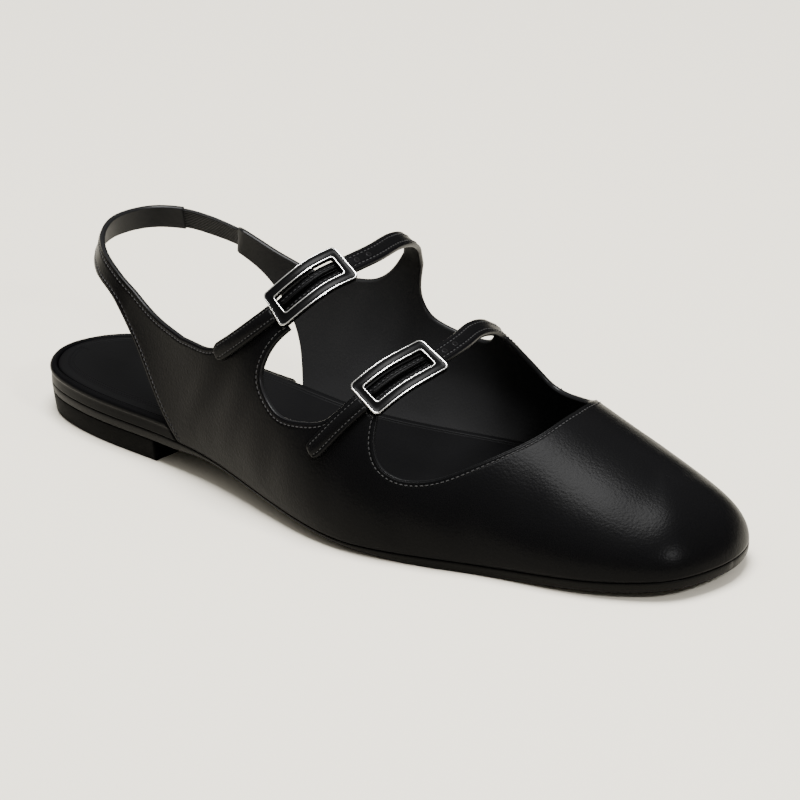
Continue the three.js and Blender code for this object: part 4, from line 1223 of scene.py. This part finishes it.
dish = insole_dish * smooth_step(0, insole_dish_width, rim)
rim_round = np.sqrt(1 - (1 - np.clip(rim / insole_edge_width, 0, 1)) ** 2)
lines[..., 2] = sole_height(lines[..., 0]) + insole_rise(lines[..., 0]) - dish - insole_edge * (1 - rim_round)
insole_side = [(insole_inset, insole_shoulder), (insole_inset, insole_low)]
insole = plate("insole_sock", (rows, rows), lines, insole_side, insole_low, [insole_calf])
insole_points = np.array([vertex.co for vertex in insole.data.vertices]) - np.array(last_origin)
add_values(insole, "rim", near_distances(insole_points * (1000, 1000, 0), outline))
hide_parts("insole")

# Rand
# A narrow rounded strip of leather round the heel seat, sewn in between the insole and the sole.
rand_height = 5.4
rand_ends = {-1: 5.4, 1: 5.68}
rand_slant = 0.22
rand_drop, rand_drop_from = 0.22, 0.5
rand_corners = np.array([
    [0.0, 0.3, 0], [0.0, 1.8, 0], [0.0, 3.2, 0], [0.35, 3.9, 0],
    [0.2, 4.7, 0], [-0.5, 5.25, 0], [-1.35, 5.35, 0], [-1.9, 4.9, 0],
])
rand_profile = through_points(rand_corners[:, None, :], np.linspace(0, len(rand_corners) - 1, 43))[:, 0, :2]
rand_profile = np.vstack([rand_profile, [[-1.9, 0.3]]])
rand_leather = finish_material(
    "rand_calf", color=(0.0014, 0.0014, 0.0016), shade=1.5, cell=0.0005, pores=0.4, depth=0.03,
    roughness=0.36, uneven=0.05, specular=0.03,
)
rings = []
for t in np.linspace(-1, 1, 181):
    side = -1 if t < 0 else 1
    ring = []
    for out, up in rand_profile:
        row = (rand_ends[side] - rand_slant * up / rand_height) * abs(t)
        point = outline_points(side, np.array([row]), -out)[0]
        drop = 0 if side < 0 else rand_drop * smooth_step(rand_drop_from, 1, abs(t))
        point[2] = sole_height(point[0]) + fit_gap + (up - fit_gap) * (1 - drop)
        ring.append(point)
    rings.append(ring)
points, faces, _ = loft(rings)
rand = solid("seat_rand_strip", points, faces, [rand_leather])
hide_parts("seat_rand")

# Sole
# A thin black sole with an upright, slightly rough edge, bevelled away under the arch. Its underside is
# finely ribbed.
sole_edge = finish_material(
    "sole_edge", color=(0.002, 0.0019, 0.0018), shade=1.6, cell=0.0004, pores=0.5, depth=0.05,
    roughness=0.4, uneven=0.1,
)
sole_tread = finish_material(
    "sole_tread", color=(0.008, 0.0075, 0.007), shade=1.5, cell=0.0005, pores=0.5, depth=0.05,
    roughness=0.68, uneven=0.06,
)
tread_nodes, tread_links = sole_tread.node_tree.nodes, sole_tread.node_tree.links
tread_place = tread_nodes.new("ShaderNodeTexCoord")
tread_wave = tread_nodes.new("ShaderNodeTexWave")
tread_wave.inputs["Scale"].default_value = 150.0
tread_links.new(tread_place.outputs["Object"], tread_wave.inputs["Vector"])
tread_bump = tread_nodes.new("ShaderNodeBump")
tread_bump.inputs["Distance"].default_value = 0.0003
tread_links.new(tread_wave.outputs["Fac"], tread_bump.inputs["Height"])
tread_links.new(tread_bump.outputs["Normal"], tread_nodes["Principled BSDF"].inputs["Normal"])
sole_undercut, waist_undercut, waist_thinning = 0.5, 4.0, 0.8


def waist_share(x):
    return smooth_step(66, 96, x) * smooth_step(178, 128, x)


def sole_bottom(x):
    return sole_height(x) - sole_thickness + waist_thinning * waist_share(x)


def side_height(share):
    """The height of the sole's side at a share of the way down, as a function of the place along it."""
    def height(x):
        return sole_height(x) + (sole_bottom(x) - sole_height(x)) * share

    return height


row_x = shoe_length * section_curves["along"](rows)
undercut = sole_undercut + waist_undercut * waist_share(row_x)
sole_side = [
    (0.0, 0.06, 0.0), (0.02, 0.3, 0.0), (0.2, 0.6, 0.0), (0.55, 0.85, 0.0), (0.8, 0.95, 0.0), (1.0, 1.0, 0.2),
]
profile = [(share * undercut + more, side_height(down)) for share, down, more in sole_side]
lines = cross_lines((rows, rows), 0.15, (0, 2.0), 6)
lines[..., 2] = sole_height(lines[..., 0])
outsole = plate("outsole_piece", (rows, rows), lines, profile, sole_bottom, [sole_edge, sole_tread], True)
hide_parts("outsole")

# Heel
# A low block, matt black, flush with the rand and cut square at its front.
heel_inset, heel_draft = 0.3, 0.9
heel_round = 0.35
heel_seam = 0.02
heel_ends = (4.9, 5.05)
heel_matt = finish_material(
    "heel_matt", color=(0.0012, 0.0012, 0.0012), shade=1.6, cell=0.0005, pores=0.5, depth=0.05,
    roughness=0.55, uneven=0.08, specular=0.02,
)
heel_rows = tuple(spread_rows(end) for end in heel_ends)


def heel_top(x):
    return sole_height(x) - sole_thickness - heel_seam


def heel_side(share):
    """The height of the heel's side at a share of the way down, as a function of the place along it."""
    def height(x):
        return heel_top(x) * (1 - share)

    return height


heel_profile = [
    (heel_inset, heel_side(0.04)), (heel_inset + 0.4 * heel_draft, heel_side(0.5)),
    (heel_inset + 0.92 * heel_draft, heel_side(0.94)), (heel_inset + heel_draft + heel_round, heel_side(1.0)),
]
lines = cross_lines(heel_rows, heel_inset + 0.1, (0, 2.0), 6)
lines[..., 2] = heel_top(lines[..., 0])
heel = plate("heel_piece", heel_rows, lines, heel_profile, np.zeros_like, [heel_matt, sole_tread], True)
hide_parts("heel_block")
